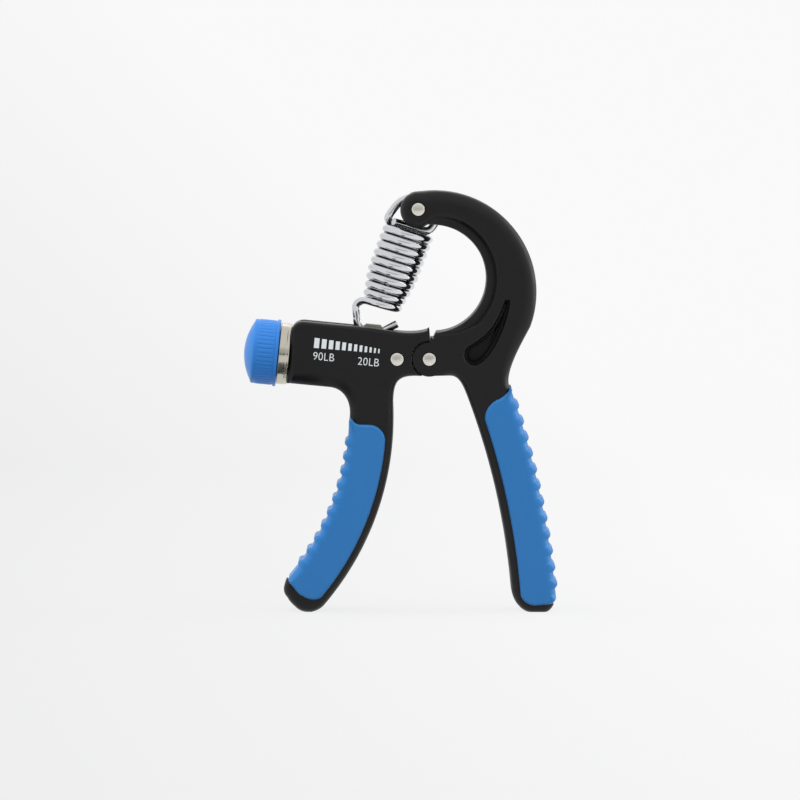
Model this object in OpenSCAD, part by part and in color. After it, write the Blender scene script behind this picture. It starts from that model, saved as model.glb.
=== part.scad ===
// Adjustable hand grip strengthener.
// X runs to the right, Y away from the viewer, Z up. It stands on the tips of its two handles.

/* [Frames] */
// Thickness of both plastic frames
frame_t = 23; // [20:0.5:26]
// How deep the rounding of the frames' edges reaches from each face
edge_d = 3.6; // [2:0.2:5]
// Width of that rounding on a handle's inner edge
handle_edge = 2.4; // [1:0.2:3]
// Width of the rounding along the outside of the arm
arm_edge = 5; // [3:0.2:6]
// Width of the bevel around the inside of the arm
bay_bevel = 4.4; // [3:0.2:6]

/* [Hinge] */
// Height of the hinge pin above the feet
pivot_z = 96.2; // [92:0.2:100]
// Distance of the hinge pin to the right of the middle
pivot_x = 10.7; // [9:0.1:12]
// Radius of the right frame's round knuckle
knuckle_r = 6.6; // [6:0.1:7]
// Gap between the knuckle and the left frame's socket
hinge_gap = 0.3; // [0.2:0.05:0.5]
// Diameter of the three steel pins
pin_d = 5; // [4:0.1:5.4]
// Distance between the hinge pin and the link pin
link_len = 12.2; // [11.6:0.1:13]
// Thickness of the steel link plate
link_t = 4; // [3:0.1:5]
// Radius of the link plate's round ends
link_r = 4.4; // [4:0.1:5]
// Thickness of each washer beside the link plate
washer_t = 0.5; // [0.3:0.05:0.8]

/* [Arm] */
// Radius of the round opening inside the arm
bay_r = 20.35; // [18:0.1:21]
// Radius of the arm's outside
arm_r = 38.4; // [37:0.1:40]
// Radius of the arm's nose around the spring pin
nose_r = 6.9; // [6.4:0.1:7.4]
// Height of the spring pin above the hinge pin
spring_up = 56.8; // [55:0.1:58]
// Width of the slot in the nose that the spring's loop turns in
nose_slot = 4; // [3.6:0.1:5]
// Depth of the comma-shaped recess in each face of the arm
comma_d = 5; // [2:0.5:8]

/* [Barrel] */
// Height of the barrel above the screw's axis
barrel_top = 13.35; // [13:0.05:14]
// Height of the barrel below the screw's axis
barrel_bottom = 10.65; // [10.4:0.05:12]
// Slope of the barrel down towards the hinge, in degrees
barrel_tilt = 5.5; // [4.5:0.1:6.5]
// Width of the slot along the top of the barrel
slot_w = 6; // [5:0.1:7]

/* [Handles] */
// Radius of the left handle's inner edge
left_in_r = 109.8; // [100:0.1:120]
// Width of the left handle between its ribs
left_w = 17; // [15.5:0.1:18.5]
// Radius of the right handle's inner edge
right_in_r = 276.7; // [270:0.1:284]
// Radius of the right handle's outer edge between its ribs
right_out_r = 356.2; // [350:0.1:362]

/* [Grips] */
// Thickness of the soft grips from face to face
grip_t = 25.5; // [24:0.1:28]
// Thickness of the grip's wall over the handle's core
grip_wall = 2.6; // [2:0.1:3.4]
// Width of the plastic border left beside each grip
grip_border = 2.8; // [2:0.1:4]
// Height of the finger ribs
rib_h = 1.1; // [0.5:0.1:1.5]
// Number of ribs on the left grip
left_ribs = 10; // [6:1:10]
// Number of ribs on the right grip
right_ribs = 12; // [6:1:12]
// Gap between a grip and the frame that it is moulded on
grip_gap = 0.05; // [0.02:0.01:0.15]

/* [Spring] */
// Diameter of the spring's wire
wire_d = 2.6; // [2:0.05:2.6]
// Diameter of the coil over the wire at its upper end
coil_d = 18.4; // [17:0.1:19]
// Diameter of the coil over the wire at its lower end
coil_end_d = 14.8; // [14:0.1:18]
// Number of turns
coil_turns = 10; // [8:1:10]
// Pitch of the turns
coil_pitch = 3.05; // [3.05:0.01:3.1]
// Lean of the spring from upright, in degrees
spring_lean = 20.4; // [19:0.1:22]

/* [Adjuster] */
// Outer diameter of the screw's thread
screw_d = 6; // [5:0.1:6.4]
// Side of the slider's square nut
nut_w = 11; // [10:0.1:11.4]
// Length of the slider along the screw
slider_len = 8; // [7:0.1:8.4]
// Width of the slider's eye for the spring's hook
eye_w = 3.4; // [3.2:0.1:4]
// Radius of the bend in the spring's hook
hook_r = 6; // [5.6:0.1:6.2]
// Travel of the slider along the screw
travel = 20; // [10:0.5:20]

/* [Knob] */
// Diameter of the knob's rim
knob_d = 25.1; // [24:0.1:27]
// Length of the knob's fluted band with its rims
knob_len = 9.1; // [8:0.1:11]
// Height of the knob's domed cap
dome_h = 3.6; // [2:0.1:5]
// Number of flutes around the knob
flutes = 40; // [24:1:48]
// Outer diameter of the steel collar
collar_d = 23.4; // [22:0.1:24]
// Width of the steel collar
collar_w = 4; // [3:0.1:5]

/* [Hidden] */
$fn = 64;
SLIVER = 0.01;
FIT = 0.04; // radial gap of a running or seated fit
edge_slope = 1.5; // a rounding reaches this many times deeper than it is wide, up to edge_d

// Hinge and pins
pivot = [pivot_x, pivot_z];
link_at = pivot - [link_len, 0];
spring_at = pivot + [-4.2, spring_up];
socket_r = knuckle_r + hinge_gap;
pin_r = pin_d / 2;
pin_proud = 0.35;
link_waist_in = 0.8;
stop_x = pivot_x + 0.35; // the two frames meet here above the knuckle

// Arm
bay_c = pivot + [1.3, 30.55];
crown_up = 7; // the arm's top stands this far above the spring pin
arm_c = [pivot_x + 2.3, spring_at[1] + crown_up - arm_r];
nose_c = spring_at + [0.1, -0.3];
bevel_fade = -40; // the bay's bevel narrows from this angle down to the notch
bevel_end = 1.3;
slot_r = 10.3; // the loop's sweep around the spring pin
heel_step = 0.25; // the hinge's flat underside lies this far above the knuckle's lowest point
knuckle_sunk = 0.05; // the knuckle's faces lie this far below the frame's
notch_h = 1.4; // height of the notch's floor above the knuckle

// Barrel, whose screw axis starts at the collar and falls along u
barrel_at = pivot + [-53.15, 1.5];
bore_d = 16;
bore_len = 5.5;
channel_gap = 0.3;
channel_w = nut_w + 2 * channel_gap;
slider_rest = 30.7;
channel_end = slider_rest + slider_len / 2 + 0.6;
slot_floor = 8.8;
slot_spare = 1.7; // room left in the slot past the slider's travel
slot_start = slider_rest - travel - slider_len / 2 - slot_spare;
slot_end = 38.4; // the slot's shallow end, under the tip of the spring's hook

// Handles
foot_sink = 0.3; // the tips' rounding reaches this far below the flat feet
left_out_r = left_in_r - left_w;
left_neck = pivot - [13.5, 22.2]; // the inner edge is upright here
left_c = left_neck - [left_in_r, 0];
left_tip = -asin((left_neck[1] + 3.1) / left_in_r);
left_top = -1.5;
left_bottom = left_tip + 2.8;
left_rib_first = -5.85;
left_rib_step = (left_rib_first - left_bottom - 5.35) / (left_ribs - 1);
heel = pivot + [14.61, -14.55]; // the right handle's inner edge starts here
heel_a = 20.6;
right_in_c = at_angle(heel, -right_in_r, heel_a);
neck = pivot + [30.8, -10.72]; // and its outer edge here
neck_a = 18.9;
right_out_c = at_angle(neck, -right_out_r, neck_a);
right_rib_first = 17.77;
right_rib_last = 6.58;
right_rib_step = (right_rib_first - right_rib_last) / (right_ribs - 1);
core_t = grip_t - 2 * grip_wall - 2;
border_in = grip_border + 0.5; // the right grip's border on its inner side
grip_edge = 3.2; // rounding of the grips' outer edge
grip_lip = 0.9; // rounding of their edge towards the plastic
grip_d = 3.4; // depth of both from the grip's face

// Spring, drawn down its own axis from the spring pin: [across, towards the back, along]
wire_r = wire_d / 2;
coil_r = coil_d / 2 - wire_r;
coil_end_r = coil_end_d / 2 - wire_r;
coil_start = 8.7;
coil_end = coil_start + coil_turns * coil_pitch;
taper_from = 0.55; // the coil keeps its width over this share of its turns
loop_seat = pin_r + 0.25 + wire_r;
spring_across = [cos(spring_lean), -sin(spring_lean)];
spring_along = [-sin(spring_lean), -cos(spring_lean)];
hook_up = 16.6; // height of the hook's centre over the screw
hook_left = 0.5; // and its distance to the left of the slider's middle

// Knob and collar, along the screw's axis to the left of the barrel
collar_gap = 0.3;
knob_start = collar_w + collar_gap;
knob_end = knob_start + knob_len;
knob_floor = knob_end - 2.6;
rim_w = 1.1;
band_r = knob_d / 2 - 0.45;
dome_r = band_r - 1;
collar_wall = 2.2;
flange_r = collar_d / 2 - collar_wall;
flange_t = 1.2;
hub_r = flange_r - 0.5;
thrust_t = 0.6;
hub_start = flange_t + thrust_t + 0.1;
shank_d = screw_d - 0.8;
ring_t = 1; // the retaining ring sits in the shank's groove behind the bush
bush_end = bore_len - 0.5;
thread_start = bore_len + 1.5;
thread_chamfer = 0.4;
thread_end = channel_end - 0.6;

PLASTIC = "#2a282a";
SOFT_BLUE = "#2f7bc4";
KNOB_BLUE = "#3c86dc";
STEEL = "silver";
BRASS = "#b3a077";

// ---- Curves ----
function at_angle(c, r, a) = c + r * [cos(a), sin(a)];
function arc(c, r, a0, a1, n) = [for (i = [0:n]) at_angle(c, r, a0 + (a1 - a0) * i / n)];
function mix(a, b, t) = a * (1 - t) + b * t;
function bezier_at(p, t) =
    pow(1 - t, 3) * p[0] + 3 * pow(1 - t, 2) * t * p[1] + 3 * (1 - t) * t * t * p[2] + pow(t, 3) * p[3];
function bezier(p, n) = [for (i = [0:n]) bezier_at(p, i / n)];
function rounded(a, corner, b, n) = bezier([a, mix(a, corner, 0.55), mix(b, corner, 0.55), b], n);
function inner(path) = [for (i = [1:len(path) - 2]) path[i]];

// Each outline point is [x, z, rounding width, share of bevel, rib height]
function edged(path, e0, e1, bevel = 0) =
    [for (i = [0:len(path) - 1]) [path[i][0], path[i][1], mix(e0, e1, i / max(1, len(path) - 1)), bevel, 0]];

// Outward normal of a counterclockwise outline
function normal_at(path, i) =
    let (n = len(path), a = path[(i + n - 1) % n], b = path[(i + 1) % n], d = [b[0] - a[0], b[1] - a[1]])
    [d[1], -d[0]] / norm(d);

// Where an outline's point lies on the rounded edge, from angle 0 at the rim to 90 at the face
function slab_point(path, i, side, a, t, d) =
    let (p = path[i], n = normal_at(path, i), deep = min(d, edge_slope * p[2]))
    let (drawn_in = p[2] * ((1 - p[3]) * (1 - cos(a)) + p[3] * sin(a)) - p[4] * cos(a))
    [p[0] - n[0] * drawn_in, side * (t / 2 - deep * (1 - sin(a))), p[1] - n[1] * drawn_in];

// Triangles that fill a counterclockwise outline, cut off one ear at a time
function turn(a, b, c) = (b[0] - a[0]) * (c[1] - a[1]) - (b[1] - a[1]) * (c[0] - a[0]);
function holds(a, b, c, p) = turn(a, b, p) >= 0 && turn(b, c, p) >= 0 && turn(c, a, p) >= 0;
function corner_at(ring, k) = let (n = len(ring)) [ring[(k + n - 1) % n], ring[k % n], ring[(k + 1) % n]];
function is_ear(pts, t, ring) =
    turn(pts[t[0]], pts[t[1]], pts[t[2]]) > 0
    && len([for (j = ring) if (j != t[0] && j != t[1] && j != t[2]
        && holds(pts[t[0]], pts[t[1]], pts[t[2]], pts[j])) j]) == 0;
function find_ear(pts, ring, k, tries = 0) =
    tries >= len(ring) || is_ear(pts, corner_at(ring, k), ring) ? k : find_ear(pts, ring, k + 1, tries + 1);
function ears(pts, ring, start = 0, found = []) =
    len(ring) < 3 ? found
    : let (k = find_ear(pts, ring, start) % len(ring))
        ears(pts, [for (i = [0:len(ring) - 1]) if (i != k) ring[i]], k + 1,
            concat(found, [corner_at(ring, k)]));

// A plate across Y with this outline and rounded or bevelled edges
module rounded_slab(path, t, d, steps = 3) {
    n = len(path);
    front = [for (k = [steps:-1:0]) [-1, 90 * k / steps]];
    back = [for (k = [0:steps]) [1, 90 * k / steps]];
    levels = concat(front, back);
    last = len(levels) - 1;
    points = [for (v = levels) for (i = [0:n - 1]) slab_point(path, i, v[0], v[1], t, d)];
    sides = [
        for (k = [0:last - 1])
            for (i = [0:n - 1])
                let (j = (i + 1) % n, a = k * n + i, b = k * n + j, c = b + n, e = a + n)
                each [[a, b, c], [a, c, e]]
    ];
    face = ears([for (i = [0:n - 1]) [points[i][0], points[i][2]]], [for (i = [0:n - 1]) i]);
    caps = [for (t = face) each [[t[2], t[1], t[0]], [for (i = t) last * n + i]]];
    polyhedron(points, concat(sides, caps), convexity = 10);
}

// A flat shape drawn in X and Z, carried across Y
module across(t) {
    rotate([90, 0, 0])
        linear_extrude(t, center = true)
            children();
}

// A round bar across Y at a point
module bar(c, r, t, y = 0) {
    translate([c[0], y, c[1]])
        rotate([90, 0, 0])
            cylinder(h = t, r = r, center = true);
}

// The barrel's own frame: X along the screw, Z square to it
module in_barrel(u = 0) {
    translate([barrel_at[0], 0, barrel_at[1]])
        rotate([0, barrel_tilt, 0])
            translate([u, 0, 0])
                children();
}
function barrel_point(u, v) =
    barrel_at + [u * cos(barrel_tilt) + v * sin(barrel_tilt), v * cos(barrel_tilt) - u * sin(barrel_tilt)];

// A turned piece along the screw's axis, from its profile of [distance left of the barrel, radius]
module turned(profile) {
    in_barrel()
        rotate([0, -90, 0])
            rotate_extrude()
                polygon([for (p = profile) [p[1], p[0]]]);
}

// ---- Outlines ----
function right_outline() =
    let (
        tip_in = at_angle(right_in_c, right_in_r, 5),
        tip_out = at_angle(right_out_c, right_out_r, 6),
        sole = -foot_sink,
        neck_low = neck - [0.3, 0],
        neck_high = at_angle(arm_c, arm_r, -20),
        under = pivot_z - knuckle_r + heel_step,
        bay_foot = at_angle(bay_c, bay_r, -86)
    )
    concat(
        edged([[pivot_x, under], [pivot_x + 7, under]], 0, handle_edge),
        edged(bezier([[pivot_x + 8, under], [pivot_x + 11.4, under], heel + [-1.7, 4.4], heel], 6),
            handle_edge, handle_edge),
        edged(inner(arc(right_in_c, right_in_r, heel_a, 5, 10)), handle_edge, handle_edge),
        edged(rounded(tip_in, [tip_in[0] + 1.2, sole], [tip_in[0] + 8.05, sole], 6), handle_edge,
            handle_edge),
        edged(rounded([tip_out[0] - 4.75, sole], [tip_out[0] + 0.6, sole], tip_out, 6), handle_edge,
            handle_edge),
        edged(inner(arc(right_out_c, right_out_r, 6, neck_a, 8)), handle_edge, handle_edge),
        edged(bezier([neck_low, neck_low + [-1.9, 5.2], neck_high - [4.4, 8.2], neck_high], 7), handle_edge,
            arm_edge),
        edged(inner(arc(arm_c, arm_r, -20, 97, 26)), arm_edge, arm_edge),
        edged(arc(nose_c, nose_r, 100, 285, 14), arm_edge * 0.7, handle_edge),
        edged(bezier([nose_c + [3.4, -5.6], bay_c + [-2, 20.5], bay_c + [0, 20.6],
            at_angle(bay_c, bay_r, 83)], 4), handle_edge, bay_bevel, 0.5),
        edged(arc(bay_c, bay_r, 76, bevel_fade, 18), bay_bevel, bay_bevel, 1),
        edged(inner(arc(bay_c, bay_r, bevel_fade, -86, 8)), bay_bevel, bevel_end, 1),
        edged([bay_foot, bay_foot - [1.1, 2.3]], 1.2, 0.4),
        edged([[stop_x + 0.15, pivot_z + knuckle_r + notch_h], [stop_x + 0.15, pivot_z + 1]], 0, 0)
    );

function left_outline() =
    let (
        left_arc_top = at_angle(left_c, left_out_r, -1),
        tip_left = at_angle(left_c, left_out_r, left_tip + 3.2),
        tip_right = at_angle(left_c, left_in_r, left_tip + 4),
        neck_right = at_angle(left_c, left_in_r, 3),
        lip = pivot_z - knuckle_r + heel_step
    )
    concat(
        edged([barrel_point(0, -barrel_bottom), barrel_point(15.8, -barrel_bottom)], 1.4, 5),
        edged(bezier([barrel_point(16.5, -barrel_bottom), barrel_point(22.6, -barrel_bottom),
            left_arc_top + [1.5, 6.4], left_arc_top], 8), 5, 4),
        edged(inner(arc(left_c, left_out_r, -1, left_tip + 3.2, 12)), 4, handle_edge),
        edged(rounded(tip_left, at_angle(left_c, left_out_r, left_tip),
            at_angle(left_c, left_out_r + 4.4, left_tip), 5), handle_edge, handle_edge),
        edged(rounded(at_angle(left_c, left_in_r - 6.5, left_tip), at_angle(left_c, left_in_r, left_tip),
            tip_right, 7), handle_edge, handle_edge),
        edged(inner(arc(left_c, left_in_r, left_tip + 4, 3, 16)), handle_edge, handle_edge),
        edged(bezier([neck_right, neck_right + [0.2, 7.2], [pivot_x - 12.5, lip], [pivot_x - 5.3, lip]], 7),
            handle_edge, 1.5),
        edged([[pivot_x - 0.5, lip], [pivot_x - 0.5, pivot_z]], 0, 0),
        edged([[stop_x, pivot_z + 3], [stop_x, pivot_z + knuckle_r + notch_h],
            [stop_x - 0.3, pivot_z + 11.4]], 0, 0),
        edged(bezier([[stop_x - 1.2, pivot_z + 10.9], pivot + [-3.7, 9.9], pivot + [-8.2, 9.8],
            barrel_point(39, barrel_top - 0.6)], 5), 0.8, 1.4),
        edged([barrel_point(30, barrel_top), barrel_point(16, barrel_top)], 1.4, 1.4),
        edged(rounded(barrel_point(4.6, barrel_top), barrel_point(0, barrel_top),
            barrel_point(0, barrel_top - 4), 4), 1.4, 1.4)
    );

// A rib's height at a place along a grip, counted in rib steps from the first crest
function rib_at(phase, count) =
    phase < -0.5 || phase > count - 0.5 ? 0 : rib_h * max(0, (cos(360 * phase) - 0.05) / 0.95);
function ribbed(path, phases, count) =
    [for (i = [0:len(path) - 1]) [path[i][0], path[i][1], path[i][2], 0, rib_at(phases[i], count)]];

// The grip's side towards the handle's plastic border, from its lower end to its upper end
function left_grip_side(r_in, bottom, top) = concat(
    rounded(at_angle(left_c, r_in - 4.5, bottom), at_angle(left_c, r_in, bottom),
        at_angle(left_c, r_in, bottom + 2.4), 5),
    inner(arc(left_c, r_in, bottom + 2.4, top - 3.4, 14)),
    rounded(at_angle(left_c, r_in, top - 3.4), at_angle(left_c, r_in, top),
        at_angle(left_c, r_in - 6.4, top), 6)
);

function left_grip_outline() =
    let (
        r_in = left_in_r - grip_border,
        bottom = left_bottom,
        n = 6 * left_ribs + 1,
        rib_angles = [for (i = [0:n]) left_rib_first + left_rib_step * (0.6 - i / 6)],
        shoulder = at_angle(left_c, left_out_r + 1.7, -0.7)
    )
    concat(
        edged(rounded(at_angle(left_c, left_out_r, bottom + 0.8), at_angle(left_c, left_out_r, bottom),
            at_angle(left_c, left_out_r + 2, bottom), 3), grip_edge, grip_lip),
        edged(left_grip_side(r_in, bottom, left_top), grip_lip, grip_lip),
        edged(rounded(at_angle(left_c, left_out_r + 4.5, left_top),
            at_angle(left_c, left_out_r + 2.4, left_top), shoulder, 3), grip_lip, 0.6),
        edged(inner(rounded(shoulder, at_angle(left_c, left_out_r + 0.6, 0.3),
            at_angle(left_c, left_out_r, -0.7), 4)), 0.6, 0.9),
        edged(arc(left_c, left_out_r, -0.9, left_rib_first + 0.75 * left_rib_step, 2), 1, grip_edge),
        ribbed(edged([for (a = rib_angles) at_angle(left_c, left_out_r, a)], grip_edge, grip_edge),
            [for (a = rib_angles) (left_rib_first - a) / left_rib_step], left_ribs)
    );

// The same side of the right grip, from its upper end to its lower end
function right_grip_side(r_in, gap = 0) =
    let (
        bottom_in = at_angle(right_in_c, r_in, 4.6),
        shoulder = at_angle(right_in_c, r_in, 20.2)
    )
    concat(
        [shoulder + [12.6 + gap, 9.9 - gap]],
        rounded(shoulder + [5.4 + gap, 6.2 - gap], shoulder + [-0.6, 3.2],
            at_angle(right_in_c, r_in, 18.4), 6),
        inner(arc(right_in_c, r_in, 18.4, 4.6, 12)),
        rounded(bottom_in, [bottom_in[0] + 0.6, 2.8 + gap], [bottom_in[0] + 5.2, 2.6 + gap], 5),
        [[bottom_in[0] + 9.2, 2.9 + gap]]
    );

function right_grip_outline() =
    let (
        r_in = right_in_r + border_in,
        corner_out = at_angle(right_out_c, right_out_r, 5.45),
        n = 6 * right_ribs + 1,
        rib_angles = [for (i = [0:n]) right_rib_last + right_rib_step * (i / 6 - 0.6)],
        top_out = at_angle(right_out_c, right_out_r, 18.95)
    )
    concat(
        edged(inner(rounded([corner_out[0] - 3.9, 2.95], [corner_out[0] + 0.1, 2.95], corner_out, 6)),
            grip_lip, 2),
        ribbed(edged([for (a = rib_angles) at_angle(right_out_c, right_out_r, a)], grip_edge, grip_edge),
            [for (a = rib_angles) (a - right_rib_last) / right_rib_step], right_ribs),
        edged([top_out], 1.6, 1.6),
        edged(right_grip_side(r_in), grip_lip, grip_lip)
    );

// ---- Cores that the soft grips are moulded around ----
module left_core(gap = 0) {
    across(core_t + 2 * gap)
        polygon(concat(
            arc(left_c, left_out_r + grip_wall - gap, left_top + 1, left_tip + 1.2, 10),
            arc(left_c, left_in_r - grip_border + 1, left_tip + 1.2, left_top + 1, 10)
        ));
}

module right_core(gap = 0) {
    across(core_t + 2 * gap)
        polygon(concat(
            arc(right_in_c, right_in_r + grip_border - 0.5, heel_a + 0.2, 3.9, 10),
            arc(right_out_c, right_out_r - grip_wall + gap, 5.1, 19.2, 10)
        ));
}

// The pocket follows the grip's inner outline and runs out past the handle's outer edge
module left_pocket() {
    r_in = left_in_r - grip_border + grip_gap;
    far = left_out_r - 6;
    across(grip_t + 2)
        polygon(concat(
            [at_angle(left_c, far, left_bottom - 0.1)],
            left_grip_side(r_in, left_bottom - 0.03, left_top + 0.03),
            [at_angle(left_c, left_out_r + 3, left_top + 0.03), at_angle(left_c, left_out_r + 0.8, 0.13),
                at_angle(left_c, far, 0.13)]
        ));
}

module right_pocket() {
    r_in = right_in_r + border_in - grip_gap;
    far = right_out_r + 6;
    across(grip_t + 2)
        polygon(concat(
            right_grip_side(r_in, -grip_gap),
            [at_angle(right_out_c, far, 5.2), at_angle(right_out_c, far, 19.2)]
        ));
}

module ground_cut() {
    translate([0, 0, -50])
        cube([300, 300, 100], center = true);
}

// ---- Right handle ----
module comma() {
    head = pivot + [17.3, 1.6];
    tail = pivot + [30.6, 22];
    across(2 * frame_t)
        polygon(concat(
            bezier([head + [0.8, -2.9], head + [5.4, -1.4], tail + [-1.2, -10.2], tail], 8),
            bezier([tail - [0.8, 0], tail + [-3.6, -11], head + [5.6, 6.2], head + [-1.2, 2.7]], 8),
            inner(arc(head, 3, 115, 284, 8))
        ));
}

module right_frame() {
    color(PLASTIC)
        difference() {
            union() {
                difference() {
                    rounded_slab(right_outline(), frame_t, edge_d);
                    right_pocket();
                }
                right_core();
                bar(pivot, knuckle_r, frame_t - 2 * knuckle_sunk);
            }
            bar(pivot, pin_r + FIT, frame_t + 2);
            bar(spring_at, pin_r + FIT, frame_t + 2);
            bar(pivot, socket_r, link_t + 2 * washer_t + 4 * FIT);
            bar(spring_at, slot_r, nose_slot);
            difference() {
                comma();
                cube([200, frame_t - 2 * comma_d, 400], center = true);
            }
            ground_cut();
        }
}

module right_grip() {
    color(SOFT_BLUE)
        difference() {
            rounded_slab(right_grip_outline(), grip_t, grip_d);
            right_core(grip_gap);
        }
}

// ---- Left handle ----
module left_frame() {
    color(PLASTIC)
        difference() {
            union() {
                difference() {
                    rounded_slab(left_outline(), frame_t, edge_d);
                    left_pocket();
                }
                left_core();
            }
            bar(pivot, socket_r, frame_t + 2);
            bar(link_at, pin_r + FIT, frame_t + 2);
            bar(link_at, link_r + FIT, link_t + 2 * FIT);
            link_waist(FIT);
            in_barrel()
                rotate([0, 90, 0])
                    translate([0, 0, -SLIVER])
                        cylinder(h = bore_len + SLIVER, d = bore_d);
            in_barrel()
                translate([bore_len - 1, -channel_w / 2, -channel_w / 2])
                    cube([channel_end - bore_len + 1, channel_w, channel_w]);
            in_barrel()
                translate([slot_start, -slot_w / 2, 0])
                    cube([channel_end - slot_start, slot_w, 2 * barrel_top]);
            in_barrel()
                translate([slot_start, -slot_w / 2, slot_floor])
                    cube([slot_end - slot_start, slot_w, barrel_top]);
            ground_cut();
        }
}

module left_grip() {
    color(SOFT_BLUE)
        difference() {
            rounded_slab(left_grip_outline(), grip_t, grip_d);
            left_core(grip_gap);
        }
}

// ---- Hinge ----
// The plate's waist is narrower than its round ends
module link_waist(gap = 0) {
    half = link_r - link_waist_in + gap;
    translate([link_at[0], -link_t / 2 - gap, pivot_z - half])
        cube([link_len, link_t + 2 * gap, 2 * half]);
}

module link_plate() {
    color(STEEL)
        difference() {
            union() {
                bar(pivot, link_r, link_t);
                bar(link_at, link_r, link_t);
                link_waist();
            }
            bar(pivot, pin_r + FIT, link_t + 2);
            bar(link_at, pin_r + FIT, link_t + 2);
        }
}

module link_washers() {
    color("white")
        for (side = [-1, 1])
            difference() {
                bar(pivot, link_r, washer_t, side * (link_t / 2 + washer_t / 2 + FIT));
                bar(pivot, pin_r + FIT, frame_t);
            }
}

// A pin across the frame, with both ends a little proud and slightly domed
module frame_pin(c) {
    length = frame_t + 2 * pin_proud;
    bevel = 0.3;
    color(STEEL)
        translate([c[0], length / 2, c[1]])
            rotate([90, 0, 0])
                rotate_extrude()
                    polygon([
                        [0, 0], [pin_r - bevel, 0], [pin_r, bevel],
                        [pin_r, length - bevel], [pin_r - bevel, length], [0, length]
                    ]);
}

module pivot_pin() {
    frame_pin(pivot);
}

module link_pin() {
    frame_pin(link_at);
}

module spring_pin() {
    frame_pin(spring_at);
}

// ---- Spring ----
function coil_radius(turn) =
    let (t = max(0, (turn / coil_turns - taper_from) / (1 - taper_from)))
    mix(coil_r, coil_end_r, t * t * (3 - 2 * t));

// The wire's centre: the closed loop over the pin, the coil, and the hook through the slider's eye
loop_r = 7.9;
loop_mid = 3.3; // the loop is widest this far below the pin
function loop_point(a) = [loop_r * cos(a), 0, loop_mid - (loop_mid + loop_seat) * sin(a)];
loop_path = concat(
    // The cut end stands in front of the loop's left side, under the nose
    [[-6.9, -2.9, 7.8], [-5.5, -2, 7.7], [-4.1, -1, 7.6], [-2.7, -0.35, 7.5], [-0.8, 0, 7.45],
        [1.6, 0, 7.35], [3.9, 0, 7.25], [5.8, 0, 6.8], [7.2, 0, 5.6]],
    [for (i = [0:9]) loop_point(20 * i)],
    [[-loop_r, 0, coil_start - 3.6], [-loop_r, 0.3, coil_start - 1.9]]
);

coil_steps = 8;
coil_path = [
    for (i = [1:round(coil_turns * coil_steps) - 1])
        let (turn = i / coil_steps, a = 180 - 360 * turn, r = coil_radius(turn))
        [r * cos(a), r * sin(a), coil_start + coil_pitch * turn]
];

// A place in the barrel's frame, seen in the spring's own frame
function spring_point(u, v) =
    let (d = barrel_point(u, v) - spring_at)
    [d * spring_across, 0, d * spring_along];
function hook_point(a) =
    let (h = at_angle([slider_rest - hook_left, hook_up], hook_r, a))
    spring_point(h[0], h[1]);
hook_end = 308; // the hook bends round to this angle and runs straight on
hook_last = hook_point(hook_end) - hook_point(hook_end - 12);
hook_way = hook_last / norm(hook_last);
hook_path = concat(
    [[-coil_end_r - 0.6, -2.4, coil_end], [-coil_end_r - 2.2, -0.9, coil_end + 1.3],
        [-coil_end_r - 2.9, 0, coil_end + 3.4]],
    [for (a = [180:16:hook_end]) hook_point(a)],
    [for (reach = [3.4, 6.6]) hook_point(hook_end) + reach * hook_way]
);
wire_path = concat(loop_path, coil_path, hook_path);

// A tube of six-sided rings along a path, each ring square to the path
function tangent(path, i) =
    let (a = path[max(0, i - 1)], b = path[min(len(path) - 1, i + 1)])
    (b - a) / norm(b - a);
function next_side(side, along) =
    let (s = side - (side * along) * along)
    s / norm(s);
function sides(path, i = 0, side = [0, 1, 0.3], found = []) =
    i == len(path) ? found
    : let (s = next_side(side, tangent(path, i)))
        sides(path, i + 1, s, concat(found, [s]));

module tube(path, r, ring = 6) {
    across_dirs = sides(path);
    n = len(path);
    points = [
        for (i = [0:n - 1])
            let (s = across_dirs[i], c = cross(tangent(path, i), s))
            for (k = [0:ring - 1])
                path[i] + r * (cos(360 * k / ring) * s + sin(360 * k / ring) * c)
    ];
    walls = [
        for (i = [0:n - 2])
            for (k = [0:ring - 1])
                let (a = i * ring + k, b = i * ring + (k + 1) % ring, c = b + ring, d = a + ring)
                each [[a, c, b], [a, d, c]]
    ];
    ends = [[for (k = [0:ring - 1]) k], [for (k = [ring - 1:-1:0]) (n - 1) * ring + k]];
    polyhedron(points, concat(walls, ends), convexity = 10);
}

module spring() {
    color(STEEL)
        translate([spring_at[0], 0, spring_at[1]])
            rotate([0, 180 + spring_lean, 0])
                mirror([1, 0, 0])
                    tube(wire_path, wire_r);
}

// The least gap between stretches of the wire that aren't next to each other, measured on its centre
apart = ceil(1.5 * coil_steps / 2);
self_gap = min([
    for (i = [0:len(wire_path) - 1])
        for (j = [i + apart:1:len(wire_path) - 1])
            norm(wire_path[i] - wire_path[j]) - wire_d
]);
echo(spring_least_gap_mm = self_gap);

// ---- Adjuster ----
module slider() {
    top = barrel_top + 1.1;
    neck = slot_w - 2 * channel_gap;
    foot = 1;
    bevel = 1.3;
    color(BRASS)
        in_barrel(slider_rest)
            difference() {
                union() {
                    translate([-slider_len / 2, -nut_w / 2, -nut_w / 2])
                        cube([slider_len, nut_w, nut_w]);
                    rotate([90, 0, 0])
                        linear_extrude(neck, center = true)
                            polygon([
                                [-slider_len / 2, nut_w / 2 - foot], [slider_len / 2, nut_w / 2 - foot],
                                [slider_len / 2, top - bevel], [slider_len / 2 - bevel, top],
                                [bevel - slider_len / 2, top], [-slider_len / 2, top - bevel]
                            ]);
                }
                rotate([0, 90, 0])
                    cylinder(h = slider_len + 2, d = screw_d + 2 * FIT, center = true);
                translate([-hook_left, 0, hook_up])
                    rotate([90, 0, 0])
                        rotate_extrude()
                            translate([hook_r, 0])
                                square(eye_w, center = true);
            }
}

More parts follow.
